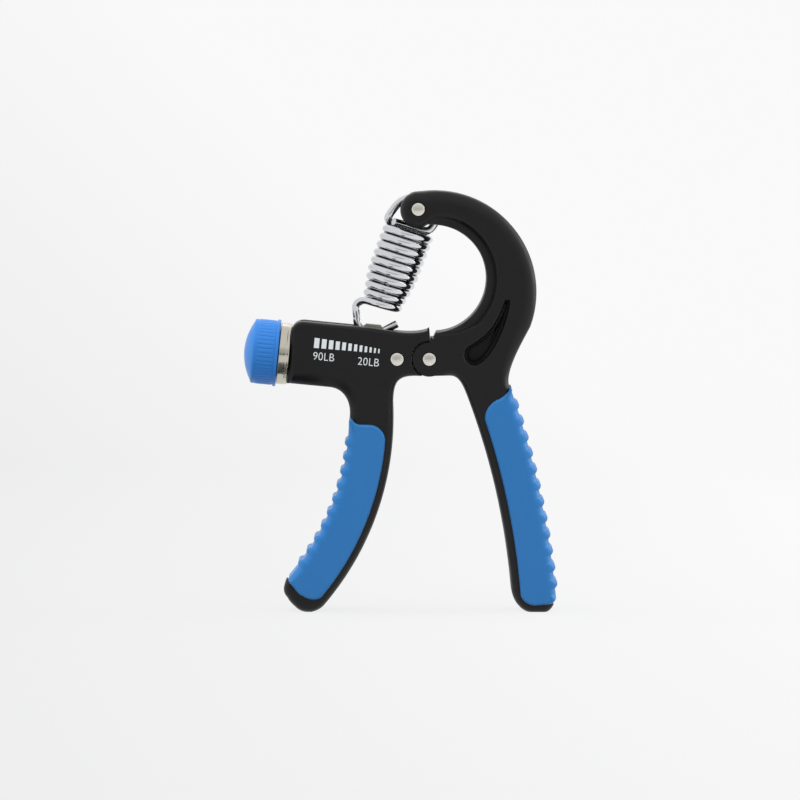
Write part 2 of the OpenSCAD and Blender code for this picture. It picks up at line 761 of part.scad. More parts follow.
module screw() {
    color(STEEL)
        turned([
            [knob_floor, 0], [knob_floor, shank_d / 2], [-thread_start, shank_d / 2],
            [-thread_start, screw_d / 2 - thread_chamfer], [-thread_start - thread_chamfer, screw_d / 2],
            [thread_chamfer - thread_end, screw_d / 2], [-thread_end, screw_d / 2 - thread_chamfer],
            [-thread_end, 0]
        ]);
}

module end_bush() {
    color(BRASS)
        turned([
            [flange_t, shank_d / 2 + FIT], [flange_t, flange_r], [0, flange_r], [0, bore_d / 2 - FIT],
            [-bush_end, bore_d / 2 - FIT], [-bush_end, shank_d / 2 + FIT]
        ]);
}

module collar() {
    bevel = 0.4;
    inner_r = flange_r + FIT;
    color("gainsboro")
        turned([
            [0, inner_r], [0, collar_d / 2 - bevel], [bevel, collar_d / 2],
            [collar_w - bevel, collar_d / 2], [collar_w, collar_d / 2 - bevel], [collar_w, inner_r]
        ]);
}

module thrust_washer() {
    color("white")
        turned([
            [flange_t, shank_d / 2 + FIT], [flange_t, hub_r - 1],
            [flange_t + thrust_t, hub_r - 1], [flange_t + thrust_t, shank_d / 2 + FIT]
        ]);
}

module retaining_ring() {
    start = bush_end + 0.1;
    ring_r = shank_d / 2 + 2;
    color(STEEL)
        turned([
            [-start, shank_d / 2 + FIT], [-start, ring_r],
            [-start - ring_t, ring_r], [-start - ring_t, shank_d / 2 + FIT]
        ]);
}

module knob() {
    flute_r = 0.5;
    flute_end = 0.2;
    rim_r = knob_d / 2;
    color(KNOB_BLUE)
        difference() {
            turned([
                [hub_start, shank_d / 2 + FIT], [hub_start, hub_r], [knob_start, hub_r],
                [knob_start, rim_r - 0.3], [knob_start + 0.3, rim_r], [knob_start + rim_w, rim_r - 0.1],
                [knob_start + rim_w, band_r], [knob_end - rim_w, band_r], [knob_end - rim_w, rim_r - 0.7],
                [knob_end, rim_r - 1.1],
                [knob_end, dome_r], [knob_floor, dome_r], [knob_floor, shank_d / 2 + FIT]
            ]);
            in_barrel(-knob_start - rim_w - flute_end)
                for (i = [0:flutes - 1])
                    rotate([i * 360 / flutes, 0, 0])
                        translate([0, 0, band_r + flute_r * 0.2])
                            rotate([0, -90, 0])
                                cylinder(h = knob_len - 2 * (rim_w + flute_end), r = flute_r);
        }
}

// The domed cap that closes the end of the knob
module knob_cap() {
    seat = knob_end - 0.8;
    ball = (dome_r * dome_r + dome_h * dome_h) / (2 * dome_h);
    reach = asin((dome_r - FIT) / ball);
    color(KNOB_BLUE)
        turned(concat(
            [[seat, 0], [seat, dome_r - FIT], [knob_end, dome_r - FIT]],
            [for (i = [1:16]) let (a = reach * (1 - i / 16))
                [knob_end + dome_h - ball + ball * cos(a), ball * sin(a)]]
        ));
}

module knob_screw() {
    head_r = 4;
    color(STEEL)
        turned([
            [knob_floor, 0], [knob_floor, head_r], [knob_floor + 1.6, head_r], [knob_floor + 1.6, 0]
        ]);
}

right_frame();
right_grip();
left_frame();
left_grip();
pivot_pin();
link_pin();
spring_pin();
link_plate();
link_washers();
spring();
slider();
screw();
end_bush();
collar();
thrust_washer();
retaining_ring();
knob();
knob_cap();
knob_screw();
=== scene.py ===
"""The visible pieces of an adjustable hand grip strengthener, built over its solids.

Sizes inside the mesh functions are in millimetres, in the frame of the solids: X to the right,
Y away from the viewer, Z up. They are turned to metres where a mesh is made.
"""
import math

import bmesh
import bpy
from mathutils import Matrix, Vector

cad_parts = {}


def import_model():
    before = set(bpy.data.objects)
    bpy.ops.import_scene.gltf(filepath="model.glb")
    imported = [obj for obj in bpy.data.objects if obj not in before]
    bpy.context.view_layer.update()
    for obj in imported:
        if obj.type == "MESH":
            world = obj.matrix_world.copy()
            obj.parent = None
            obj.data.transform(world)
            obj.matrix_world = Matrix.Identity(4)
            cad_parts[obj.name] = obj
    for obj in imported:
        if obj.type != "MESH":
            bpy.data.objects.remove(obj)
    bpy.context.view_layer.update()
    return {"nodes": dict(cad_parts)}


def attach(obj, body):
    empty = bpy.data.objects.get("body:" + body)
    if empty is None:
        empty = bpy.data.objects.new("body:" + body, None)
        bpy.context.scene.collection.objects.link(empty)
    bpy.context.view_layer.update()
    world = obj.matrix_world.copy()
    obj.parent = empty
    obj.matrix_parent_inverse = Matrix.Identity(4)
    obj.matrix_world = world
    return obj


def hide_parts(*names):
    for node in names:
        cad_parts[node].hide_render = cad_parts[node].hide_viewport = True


bl_info = {
    "name": "Hand grip strengthener",
    "version": (1, 0, 0),
    "blender": (4, 5, 0),
    "location": "3D View > Sidebar > Gripper",
    "description": "Builds the visible pieces of an adjustable hand grip strengthener",
    "category": "Object",
}

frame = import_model()

MM = 0.001
FINE = 3  # points drawn for each step of the solids' outlines

# Frames
FRAME_T = 23
EDGE_D = 3.6
EDGE_SLOPE = 1.5  # a rounding reaches this many times deeper than it is wide, up to EDGE_D
HANDLE_EDGE = 2.4
ARM_EDGE = 5
BAY_BEVEL = 4.4  # width of the stepped edge of the bay
PIVOT = Vector((10.7, 96.2))
KNUCKLE_R = 6.6
SOCKET_R = 6.9
STOP_X = 11.05  # the frames' faces that meet when the spring pulls them open
HEEL_STEP = 0.25  # the lower edges stand this far above the knuckle's lowest point
NOTCH_H = 1.4  # depth of the notch above the knuckle
PIN_R = 2.5
PIN_PROUD = 0.35
FIT = 0.04  # gap between a pin and its bore
LINK_AT = Vector((-1.5, 96.2))
LINK_T = 4
LINK_R = 4.4
LINK_WAIST = 3.6
WASHER_T = 0.5
SPRING_AT = Vector((6.5, 153.0))
BAY_C = Vector((12.0, 126.75))
BAY_R = 20.35
ARM_C = Vector((13.0, 121.6))
ARM_R = 38.4
NOSE_C = Vector((6.6, 152.7))
NOSE_R = 6.9
NOSE_SLOT = 4
NOSE_SLOT_R = 10.3

# Barrel
BARREL_AT = Vector((-42.45, 97.7))
BARREL_TILT = math.radians(5.5)
BARREL_TOP = 13.35
BARREL_BOTTOM = 10.65
BORE_D = 16
BORE_LEN = 5.5
CHANNEL_W = 11.6
CHANNEL_END = 35.3
SLOT_W = 6
SLOT_FLOOR = 8.8
SLOT_START = 5
HOOK_ROOM = 3.1  # the slot starts here in its upper part
SLOT_END = 38.4
SLIDER_REST = 30.7
SLIDER_LEN = 8
NUT_W = 11
PRINT_Y = -FRAME_T / 2 - 0.012  # the print stands just in front of the face

# Handles and grips
LEFT_C = Vector((-112.6, 74))
LEFT_IN_R = 109.8
LEFT_OUT_R = 92.8
RIGHT_IN_C = Vector((-233.7, -15.7))
RIGHT_IN_R = 276.7
RIGHT_OUT_C = Vector((-295.5, -29.9))
RIGHT_OUT_R = 356.2
GRIP_T = 25.5
GRIP_WALL = 2.6
GRIP_BORDER = 2.8
GRIP_EDGE = 3.2
GRIP_LIP = 0.9
GRIP_GAP = 0.05
GRIP_D = 3.4
CORE_T = GRIP_T - 2 * GRIP_WALL - 2  # thickness of the handles inside the grips
LEFT_GRIP_LOW = -41.8
LEFT_GRIP_TOP = -1.5
GRIP_GAP_TURN = 0.03  # the gap between grip and frame, as an angle
LEFT_RIBS = 10
LEFT_RIB_FIRST = -5.85
LEFT_RIB_STEP = 3.4
RIGHT_RIBS = 12
RIGHT_RIB_FIRST = 17.77
RIGHT_RIB_STEP = 1.017
RIB_POINTS = 24
FLUTE_POINTS = 12
NO_RIB = -9  # phase of a point that no rib moves

# Knob and collar
COLLAR_R = 11.7
COLLAR_W = 4
COLLAR_WALL = 2.2
KNOB_START = 4.3
KNOB_END = 14.1
KNOB_R = 12.75
BAND_R = 12.35
DOME_R = 11.3
DOME_H = 3.2
SHANK_R = 2.6
THREAD_R = 3.0
THREAD_ROOT_R = 2.35
KNOB_FLOOR = 10.8

# Stage
ROOM_LIGHT = 0.34
ROOM_SEEN = 0.87  # what the camera and reflections see of the room instead
SWEEP_FRONT = -1600
SWEEP_BEND = 900  # the floor starts to rise here
SWEEP_R = 500
SWEEP_TOP = 2600
SWEEP_HALF = 3000
VIEW_REACH = 2200
VIEW_RISE = math.radians(3)
VIEW_W = 304.8
VIEW_AIM = Vector((-0.38, 0, 80.2))

# Spring
WIRE_R = 1.5
COIL_R = 8.35
COIL_END_R = 6.4
COIL_TURNS = 10
COIL_PITCH = 3.16
COIL_START = 8.0
COIL_SHIFT = -0.4
SPRING_LEAN = math.radians(20.4)
LOOP_R = 7.9
LOOP_MID = 3.3
LOOP_SEAT = PIN_R + 0.25 + WIRE_R
HOOK_UP = 16.6
HOOK_LEFT = 0.5
HOOK_R = 6
EYE_R = 1.68


# ---- Colours and nodes ----

def linear(code):
    """The linear RGBA of an sRGB hex colour."""
    parts = [int(code[i:i + 2], 16) / 255 for i in (1, 3, 5)]
    return tuple(c / 12.92 if c <= 0.04045 else ((c + 0.055) / 1.055) ** 2.4 for c in parts) + (1.0,)


def add_node(tree, kind, values=None, links=None, **settings):
    """Adds a node with its settings, the values of its inputs and the sockets linked to them."""
    node = tree.nodes.new(kind)
    for name, value in settings.items():
        setattr(node, name, value)
    for key, value in (values or {}).items():
        node.inputs[key].default_value = value
    for key, socket in (links or {}).items():
        tree.links.new(socket, node.inputs[key])
    return node


# ---- Curves and outlines ----

def at_angle(centre, radius, degrees):
    """The point of a circle at an angle."""
    a = math.radians(degrees)
    return Vector((centre[0] + radius * math.cos(a), centre[1] + radius * math.sin(a)))


def arc(centre, radius, start, end, steps):
    """Points along an arc, both ends included."""
    steps = steps * FINE
    return [at_angle(centre, radius, start + (end - start) * i / steps) for i in range(steps + 1)]


def bezier(a, b, c, d, steps):
    """Points along a cubic curve, both ends included."""
    steps = steps * FINE
    a, b, c, d = (Vector(p) for p in (a, b, c, d))
    return [(1 - t) ** 3 * a + 3 * (1 - t) ** 2 * t * b + 3 * (1 - t) * t * t * c + t ** 3 * d
            for t in (i / steps for i in range(steps + 1))]


def rounded(a, corner, b, steps):
    """A corner that is rounded off between two points."""
    a, corner, b = Vector(a), Vector(corner), Vector(b)
    return bezier(a, a.lerp(corner, 0.55), b.lerp(corner, 0.55), b, steps)


def inner(path):
    """A path without its two ends."""
    return path[1:-1]


def edged(path, start, end=None, bevel=(0.0, 0.0)):
    """Outline points as (x, z, width of the rounded edge, share of stepped bevel, rib phase)."""
    last = max(1, len(path) - 1)
    end = start if end is None else end
    points = []
    for i, p in enumerate(path):
        t = i / last
        share = bevel[0] + (bevel[1] - bevel[0]) * t
        points.append((p[0], p[1], start + (end - start) * t, share, NO_RIB))
    return points


def ribbed(centre, radius, first, step, count):
    """Outline points along a grip's ribs, a rib at each whole phase."""
    steps = RIB_POINTS * count + 4
    points = []
    for i in range(steps + 1):
        phase = (i / steps) * (count + 0.2) - 0.6
        p = at_angle(centre, radius, first + step * phase)
        points.append((p[0], p[1], GRIP_EDGE, 0.0, phase))
    return points


def left_at(inwards, degrees):
    """A place on the left handle, this far in from its ribbed edge."""
    return at_angle(LEFT_C, LEFT_OUT_R + inwards, degrees)


def barrel_point(along, above):
    """A place in the barrel, from its left end and its screw's axis."""
    c, s = math.cos(BARREL_TILT), math.sin(BARREL_TILT)
    return BARREL_AT + Vector((along * c + above * s, above * c - along * s))


def right_outline():
    """The right frame: handle, arm and nose, around the open bay."""
    heel_turn, in_turn, out_turn, neck_turn, arm_turn, foot_turn = 20.6, 5, 6, 18.9, -20, -86
    heel = at_angle(RIGHT_IN_C, RIGHT_IN_R, heel_turn)
    tip_in = at_angle(RIGHT_IN_C, RIGHT_IN_R, in_turn)
    tip_out = at_angle(RIGHT_OUT_C, RIGHT_OUT_R, out_turn)
    sole = -0.3
    neck_low = at_angle(RIGHT_OUT_C, RIGHT_OUT_R, neck_turn) - Vector((0.3, 0))
    neck_high = at_angle(ARM_C, ARM_R, arm_turn)
    under = PIVOT[1] - KNUCKLE_R + HEEL_STEP
    foot = at_angle(BAY_C, BAY_R, foot_turn)
    x, z = PIVOT
    return (
        edged([(x, under), (x + 7, under)], 0, HANDLE_EDGE)
        + edged(bezier((x + 8, under), (x + 11.4, under), heel + Vector((-1.7, 4.4)), heel, 6),
                HANDLE_EDGE)
        + edged(inner(arc(RIGHT_IN_C, RIGHT_IN_R, heel_turn, in_turn, 10)), HANDLE_EDGE)
        + edged(rounded(tip_in, (tip_in[0] + 1.2, sole), (50, sole), 6), HANDLE_EDGE)
        + edged(rounded((54, sole), (tip_out[0] + 0.6, sole), tip_out, 6), HANDLE_EDGE)
        + edged(inner(arc(RIGHT_OUT_C, RIGHT_OUT_R, out_turn, neck_turn, 8)), HANDLE_EDGE)
        + edged(bezier(neck_low, neck_low + Vector((-1.9, 5.2)), neck_high - Vector((4.4, 8.2)),
                       neck_high, 7), HANDLE_EDGE, ARM_EDGE)
        + edged(inner(arc(ARM_C, ARM_R, arm_turn, 97, 26)), ARM_EDGE)
        + edged(arc(NOSE_C, NOSE_R, 100, 285, 14), ARM_EDGE * 0.7, HANDLE_EDGE)
        + edged(inner(bezier(NOSE_C + Vector((3.4, -5.6)), BAY_C + Vector((-2, 20.5)),
                             BAY_C + Vector((0, 20.6)), at_angle(BAY_C, BAY_R, 83), 4)),
                HANDLE_EDGE, BAY_BEVEL, (0, 0.5))
        + edged(arc(BAY_C, BAY_R, 83, 60, 5), BAY_BEVEL, bevel=(0.5, 1))
        + edged(inner(arc(BAY_C, BAY_R, 60, -40, 16)), BAY_BEVEL, bevel=(1, 1))
        + edged(inner(arc(BAY_C, BAY_R, -40, foot_turn, 8)), BAY_BEVEL, 1.3, (1, 0))
        + edged([foot, foot - Vector((1.1, 2.3))], 1.2, 0.4)
        + edged([(STOP_X + 0.15, z + KNUCKLE_R + NOTCH_H), (STOP_X + 0.15, z + 1)], 0)
    )


def left_outline():
    """The left frame: barrel, socket and handle."""
    top_turn, low_turn, tip_turn, in_turn, neck_turn = -1, -41.4, -44.6, -40.6, 3
    arc_top = left_at(0, top_turn)
    tip_right = at_angle(LEFT_C, LEFT_IN_R, in_turn)
    neck = at_angle(LEFT_C, LEFT_IN_R, neck_turn)
    lip = PIVOT[1] - KNUCKLE_R + HEEL_STEP
    x, z = PIVOT
    return (
        edged([barrel_point(k, -BARREL_BOTTOM) for k in range(16)], 4, 7.5)
        + edged(bezier(barrel_point(16.5, -BARREL_BOTTOM), barrel_point(22.6, -BARREL_BOTTOM),
                       arc_top + Vector((1.5, 6.4)), arc_top, 8), 7.5, 4)
        + edged(inner(arc(LEFT_C, LEFT_OUT_R, top_turn, low_turn, 12)), 4, HANDLE_EDGE)
        + edged(rounded(left_at(0, low_turn), left_at(0, tip_turn), left_at(4.4, tip_turn), 5), HANDLE_EDGE)
        + edged([left_at(6.2, tip_turn - 0.25), left_at(8.2, tip_turn - 0.3)], HANDLE_EDGE)
        + edged(rounded(at_angle(LEFT_C, LEFT_IN_R - 7, tip_turn - 0.25),
                        at_angle(LEFT_C, LEFT_IN_R, tip_turn), tip_right, 7), HANDLE_EDGE)
        + edged(inner(arc(LEFT_C, LEFT_IN_R, in_turn, neck_turn, 16)), HANDLE_EDGE)
        + edged(bezier(neck, neck + Vector((0.2, 7.2)), (-1.8, lip), (5.4, lip), 7), HANDLE_EDGE, 1.5)
        + edged([(x - 0.5, lip), (x - 0.5, z)], 0)
        + edged([(STOP_X, z + 3), (STOP_X, z + KNUCKLE_R + NOTCH_H), (STOP_X - 0.3, z + 11.4)], 0)
        + edged(bezier((STOP_X - 1.2, z + 10.9), (7, z + 9.9), (2.5, z + 9.8),
                       barrel_point(39, BARREL_TOP - 0.6), 5), 0.8, 1.4)
        + edged([barrel_point(30, BARREL_TOP), barrel_point(16, BARREL_TOP)], 1.4)
        + edged(rounded(barrel_point(4.6, BARREL_TOP), barrel_point(0, BARREL_TOP),
                        barrel_point(0, BARREL_TOP - 4), 4), 1.4)
    )


def left_grip_side(radius, bottom, top):
    """The left grip's edge towards the plastic border, upwards."""
    return (
        rounded(at_angle(LEFT_C, radius - 7.5, bottom - 0.4), at_angle(LEFT_C, radius, bottom - 0.2),
                at_angle(LEFT_C, radius, bottom + 2.4), 5)
        + inner(arc(LEFT_C, radius, bottom + 2.4, top - 3.4, 14))
        + rounded(at_angle(LEFT_C, radius, top - 3.4), at_angle(LEFT_C, radius, top),
                  at_angle(LEFT_C, radius - 6.4, top), 6)
    )


def left_grip_outline():
    """The left grip, with the phase of its ribs along the outer edge."""
    bottom, top = LEFT_GRIP_LOW, LEFT_GRIP_TOP
    crest = left_at(1.7, -0.7)
    return (
        edged(rounded(left_at(0, bottom + 0.8), left_at(0, bottom), left_at(2, bottom), 3),
              GRIP_EDGE, GRIP_LIP)
        + edged(left_grip_side(LEFT_IN_R - GRIP_BORDER, bottom, top), GRIP_LIP)
        + edged(rounded(left_at(4.5, top), left_at(2.4, top), crest, 3), GRIP_LIP, 0.6)
        + edged(inner(rounded(crest, left_at(0.6, 0.3), left_at(0, -0.7), 3)), 0.6, 0.9)
        + edged(arc(LEFT_C, LEFT_OUT_R, -0.9, -3.5, 3), 1.0, GRIP_EDGE)
        + ribbed(LEFT_C, LEFT_OUT_R, LEFT_RIB_FIRST, -LEFT_RIB_STEP, LEFT_RIBS)
    )


def right_grip_side(radius, gap=0.0):
    """The right grip's edge towards the plastic border, downwards."""
    bottom_in = at_angle(RIGHT_IN_C, radius, 4.6)
    shoulder = at_angle(RIGHT_IN_C, radius, 20.2)
    return (
        rounded(shoulder + Vector((12.8 + gap, 4.6 - gap)), shoulder + Vector((10.8 + gap, 1.0 - gap)),
                shoulder + Vector((7.4 + gap, -0.1 - gap)), 4)
        + rounded(shoulder + Vector((7.2 + gap, -0.2 - gap)), shoulder + Vector((1.5, -3.0)),
                  at_angle(RIGHT_IN_C, radius, 18.4), 6)
        + inner(arc(RIGHT_IN_C, radius, 18.4, 4.6, 12))
        + rounded(bottom_in, (bottom_in[0] + 0.6, 2.8 + gap), (50.6, 2.6 + gap), 5)
        + [Vector((54.6, 2.9 + gap))]
    )


def right_grip_outline():
    """The right grip, with the phase of its ribs along the outer edge."""
    corner = at_angle(RIGHT_OUT_C, RIGHT_OUT_R, 5.75)
    last = RIGHT_RIB_FIRST - RIGHT_RIB_STEP * (RIGHT_RIBS - 1)
    return (
        edged(inner(rounded((55.2, 2.95), (corner[0] + 0.2, 2.95), corner, 6)), GRIP_LIP, 2.0)
        + edged(inner(arc(RIGHT_OUT_C, RIGHT_OUT_R, 5.76, 5.96, 1)), 2.2, GRIP_EDGE)
        + ribbed(RIGHT_OUT_C, RIGHT_OUT_R, last, RIGHT_RIB_STEP, RIGHT_RIBS)
        + edged([at_angle(RIGHT_OUT_C, RIGHT_OUT_R, 18.62)], 1.6)
        + edged(right_grip_side(RIGHT_IN_R + GRIP_BORDER + 0.5), GRIP_LIP)
    )


def comma_outline():
    """The comma-shaped recess beside the bay."""
    head = PIVOT + Vector((17.3, 1.6))
    tail = PIVOT + Vector((30.0, 22))
    return (
        bezier(head + Vector((0.8, -3.1)), head + Vector((5.4, -1.6)),
               tail + Vector((-1.2, -10.2)), tail, 8)
        + bezier(tail - Vector((0.8, 0)), tail + Vector((-4.4, -10.4)), head + Vector((5.0, 7.0)),
                 head + Vector((-1.4, 3.1)), 8)
        + inner(arc(head, 3.4, 115, 284, 8))
    )


# ---- Meshes ----

def placed(name, data=None):
    """A new object in the scene."""
    piece = bpy.data.objects.new(name, data)
    bpy.context.scene.collection.objects.link(piece)
    return piece


def made(name, points, faces, merge=0.0005):
    """A new object from points in millimetres, with its faces turned outwards."""
    shell = bmesh.new()
    verts = [shell.verts.new([c * MM for c in p]) for p in points]
    for face in faces:
        shell.faces.new([verts[i] for i in face])
    bmesh.ops.remove_doubles(shell, verts=shell.verts, dist=merge * MM)
    bmesh.ops.recalc_face_normals(shell, faces=shell.faces)
    mesh = bpy.data.meshes.new(name)
    shell.to_mesh(mesh)
    shell.free()
    return placed(name, mesh)


def bands(rows, n, closed=False):
    """Faces between neighbouring rings of n points; closed also joins the last to the first."""
    return [(j * n + i, j * n + (i + 1) % n, (j + 1) % rows * n + (i + 1) % n, (j + 1) % rows * n + i)
            for j in range(rows if closed else rows - 1) for i in range(n)]


def body_of(name, points, n, merge=0.0005):
    """A closed body from rings of n points, with a flat face at both ends."""
    rows = len(points) // n
    ends = [tuple(range(n)), tuple(range((rows - 1) * n, rows * n))]
    return made(name, points, bands(rows, n) + ends, merge)


def outward(ring, i):
    """The outward normal of a counterclockwise outline at a point."""
    a, b = ring[i - 1], ring[(i + 1) % len(ring)]
    d = Vector((b[0] - a[0], b[1] - a[1]))
    return Vector((d[1], -d[0])).normalized()


def unfolded(ring, base):
    """An offset ring whose points never run backwards past each other."""
    ring = [Vector(p) for p in ring]
    n = len(ring)
    for _ in range(40):
        folded = False
        for i in range(n):
            j = (i + 1) % n
            way = Vector((base[j][0] - base[i][0], base[j][1] - base[i][1]))
            if (ring[j] - ring[i]).dot(way) < -1e-9:
                ring[i] = ring[j] = (ring[i] + ring[j]) / 2
                folded = True
        if not folded:
            break
    return ring


# The bay's edge: the face dips to a shallow groove, beside a bead that runs along the opening.
# Share of the bevel's width and of its depth, from the wall outwards.
BAY_STEP = (
    (0, 1), (0.02, 0.76), (0.08, 0.62), (0.18, 0.56), (0.34, 0.59), (0.52, 0.66), (0.62, 0.69),
    (0.71, 0.62), (0.81, 0.38), (0.95, 0.12), (1.18, 0))


def plate(name, path, thickness, depth):
    """A plate across Y with this outline and rounded or bevelled edges, and its ribs' phases stored."""
    n = len(path)
    normals = [outward(path, i) for i in range(n)]
    steps = len(BAY_STEP) - 1
    levels = [(-1, k) for k in range(steps, -1, -1)] + [(1, k) for k in range(steps + 1)]
    points, lifts = [], []
    for side, k in levels:
        a = math.pi / 2 * k / steps
        across, down = BAY_STEP[k]
        ring = []
        for p, normal in zip(path, normals):
            drawn_in = p[2] * ((1 - p[3]) * (1 - math.cos(a)) + p[3] * across)
            ring.append(Vector((p[0], p[1])) - normal * drawn_in)
        for p, place in zip(path, unfolded(ring, path)):
            deep = min(depth, EDGE_SLOPE * p[2]) * ((1 - p[3]) * (1 - math.sin(a)) + p[3] * down)
            points.append((place[0], side * (thickness / 2 - deep), place[1]))
        lifts += [math.cos(a)] * n
    piece = body_of(name, points, n, merge=0)
    if any(p[4] != NO_RIB for p in path):
        ways = [(normal[0], 0, normal[1]) for normal in normals]
        store(piece, [p[4] for p in path] * len(levels), lifts, ways * len(levels))
    return piece


def store(piece, phases, lifts, ways):
    """Stores for each point its rib phase, how much of a rib it takes and which way a rib moves it."""
    for name, values in (("phase", phases), ("lift", lifts)):
        piece.data.attributes.new(name, "FLOAT", "POINT").data.foreach_set("value", values)
    flat = [c for way in ways for c in way]
    piece.data.attributes.new("way", "FLOAT_VECTOR", "POINT").data.foreach_set("vector", flat)


def prism(name, path, thickness, place=Matrix()):
    """A straight block across Y with this outline, in the frame that a matrix gives."""
    points = [place @ Vector((p[0], side * thickness / 2, p[1])) for side in (-1, 1) for p in path]
    return body_of(name, points, len(path))


def disc(centre, radius, thickness):
    """A round bar across Y."""
    sides = 96
    return prism("bar", [at_angle(centre, radius, 360 * i / sides) for i in range(sides)], thickness)


def around(place, along, radius, turn):
    """A point around a frame's X axis; turn is its share of a full turn."""
    a = 2 * math.pi * turn
    return place @ Vector((along, radius * math.sin(a), radius * math.cos(a)))


def lathe(name, profile, place, sides=128):
    """A turned solid from its closed profile of (distance along, radius), put in place by a matrix."""
    n = len(profile)
    points = [around(place, along, r, i / sides) for i in range(sides) for along, r in profile]
    faces = [face for face in bands(sides, n, closed=True)
             if profile[face[0] % n][1] or profile[face[1] % n][1]]
    return made(name, points, faces, merge=0.0001)


def eased(profile, radius, steps):
    """A closed profile with its corners rounded, apart from those on the axis."""
    eased_profile = []
    for i, p in enumerate(profile):
        a, p, b = (Vector(q) for q in (profile[i - 1], p, profile[(i + 1) % len(profile)]))
        if p[1] < 0.01:
            eased_profile.append(tuple(p))
            continue
        reach = min(radius, (a - p).length * 0.4, (b - p).length * 0.4)
        start = p + (a - p).normalized() * reach
        end = p + (b - p).normalized() * reach
        for k in range(steps + 1):
            t = k / steps
            eased_profile.append(tuple((1 - t) ** 2 * start + 2 * t * (1 - t) * p + t * t * end))
    return eased_profile


SCREW_FRAME = Matrix.Translation((BARREL_AT[0], 0, BARREL_AT[1])) @ Matrix.Rotation(BARREL_TILT, 4, "Y")
TURNED_FRAME = SCREW_FRAME @ Matrix.Rotation(math.pi, 4, "Z")
SLIDER_FRAME = SCREW_FRAME @ Matrix.Translation((SLIDER_REST, 0, 0))


def across_y(place):
    """The frame of a turned piece that lies across the frames."""
    return Matrix.Translation((place[0], 0, place[1])) @ Matrix.Rotation(math.pi / 2, 4, "Z")


def barrel_box(name, u0, u1, width, v0, v1):
    """A box in the barrel's frame, from u0 to u1 along it and v0 to v1 above its axis."""
    return prism(name, [(u0, v0), (u1, v0), (u1, v1), (u0, v1)], width, SCREW_FRAME)


def baked(piece):
    """Makes what the modifiers give the piece's own plain mesh."""
    seen = piece.evaluated_get(bpy.context.evaluated_depsgraph_get())
    mesh = bpy.data.meshes.new_from_object(seen)
    piece.modifiers.clear()
    piece.data = mesh
    return piece


def carved(piece, *cutters, join=False):
    """Cuts each cutter out of a piece, or joins it to the piece."""
    for cutter in cutters:
        cut = piece.modifiers.new("cut", "BOOLEAN")
        cut.operation = "UNION" if join else "DIFFERENCE"
        cut.solver = "EXACT"
        cut.object = cutter
        baked(piece)
        bpy.data.objects.remove(cutter)
    return piece


def softened(piece, width):
    """Takes the sharpness off a piece's edges with a narrow bevel."""
    bevel = piece.modifiers.new("soft edges", "BEVEL")
    bevel.width = width * MM
    bevel.segments = 2
    bevel.limit_method = "ANGLE"
    bevel.angle_limit = math.radians(35)
    bevel.harden_normals = False
    return baked(piece)


def finished(piece, body, slot, material, *nodes, angle=32):
    """Shades a piece, gives it its material and hands it to the frame."""
    piece.data.polygons.foreach_set("use_smooth", [True] * len(piece.data.polygons))
    piece.data.set_sharp_from_angle(angle=math.radians(angle))
    weighted = piece.modifiers.new("weighted", "WEIGHTED_NORMAL")
    weighted.keep_sharp = True
    baked(piece)
    piece.data.materials.clear()
    piece.data.materials.append(material)
    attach(piece, body)
    if nodes:
        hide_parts(*nodes)
    return piece


# ---- Geometry Nodes ----

def shape_tree(name, numbers):
    """A new geometry tree with these number inputs, and its input sockets by name."""
    tree = bpy.data.node_groups.new(name, "GeometryNodeTree")
    sockets = tree.interface
    sockets.new_socket("Geometry", in_out="INPUT", socket_type="NodeSocketGeometry")
    for label, value in numbers.items():
        kind = "NodeSocketInt" if isinstance(value, int) else "NodeSocketFloat"
        sockets.new_socket(label, in_out="INPUT", socket_type=kind).default_value = value
    sockets.new_socket("Material", in_out="INPUT", socket_type="NodeSocketMaterial")
    sockets.new_socket("Geometry", in_out="OUTPUT", socket_type="NodeSocketGeometry")
    start = tree.nodes.new("NodeGroupInput").outputs
    return tree, {socket.name: socket for socket in start if socket.name}


def end_tree(tree, shape, material):
    """Ends a geometry tree: instances made real, material set."""
    real = add_node(tree, "GeometryNodeRealizeInstances", links={"Geometry": shape}).outputs[0]
    paint = add_node(tree, "GeometryNodeSetMaterial", links={"Geometry": real, "Material": material})
    add_node(tree, "NodeGroupOutput", links={0: paint.outputs[0]})
    return tree


def by_name(found, terms):
    """The numbers among the terms, and the sockets that the other terms name, by their position."""
    values = {i: term for i, term in enumerate(terms) if isinstance(term, float)}
    links = {i: found[term] for i, term in enumerate(terms) if isinstance(term, str)}
    return values, links


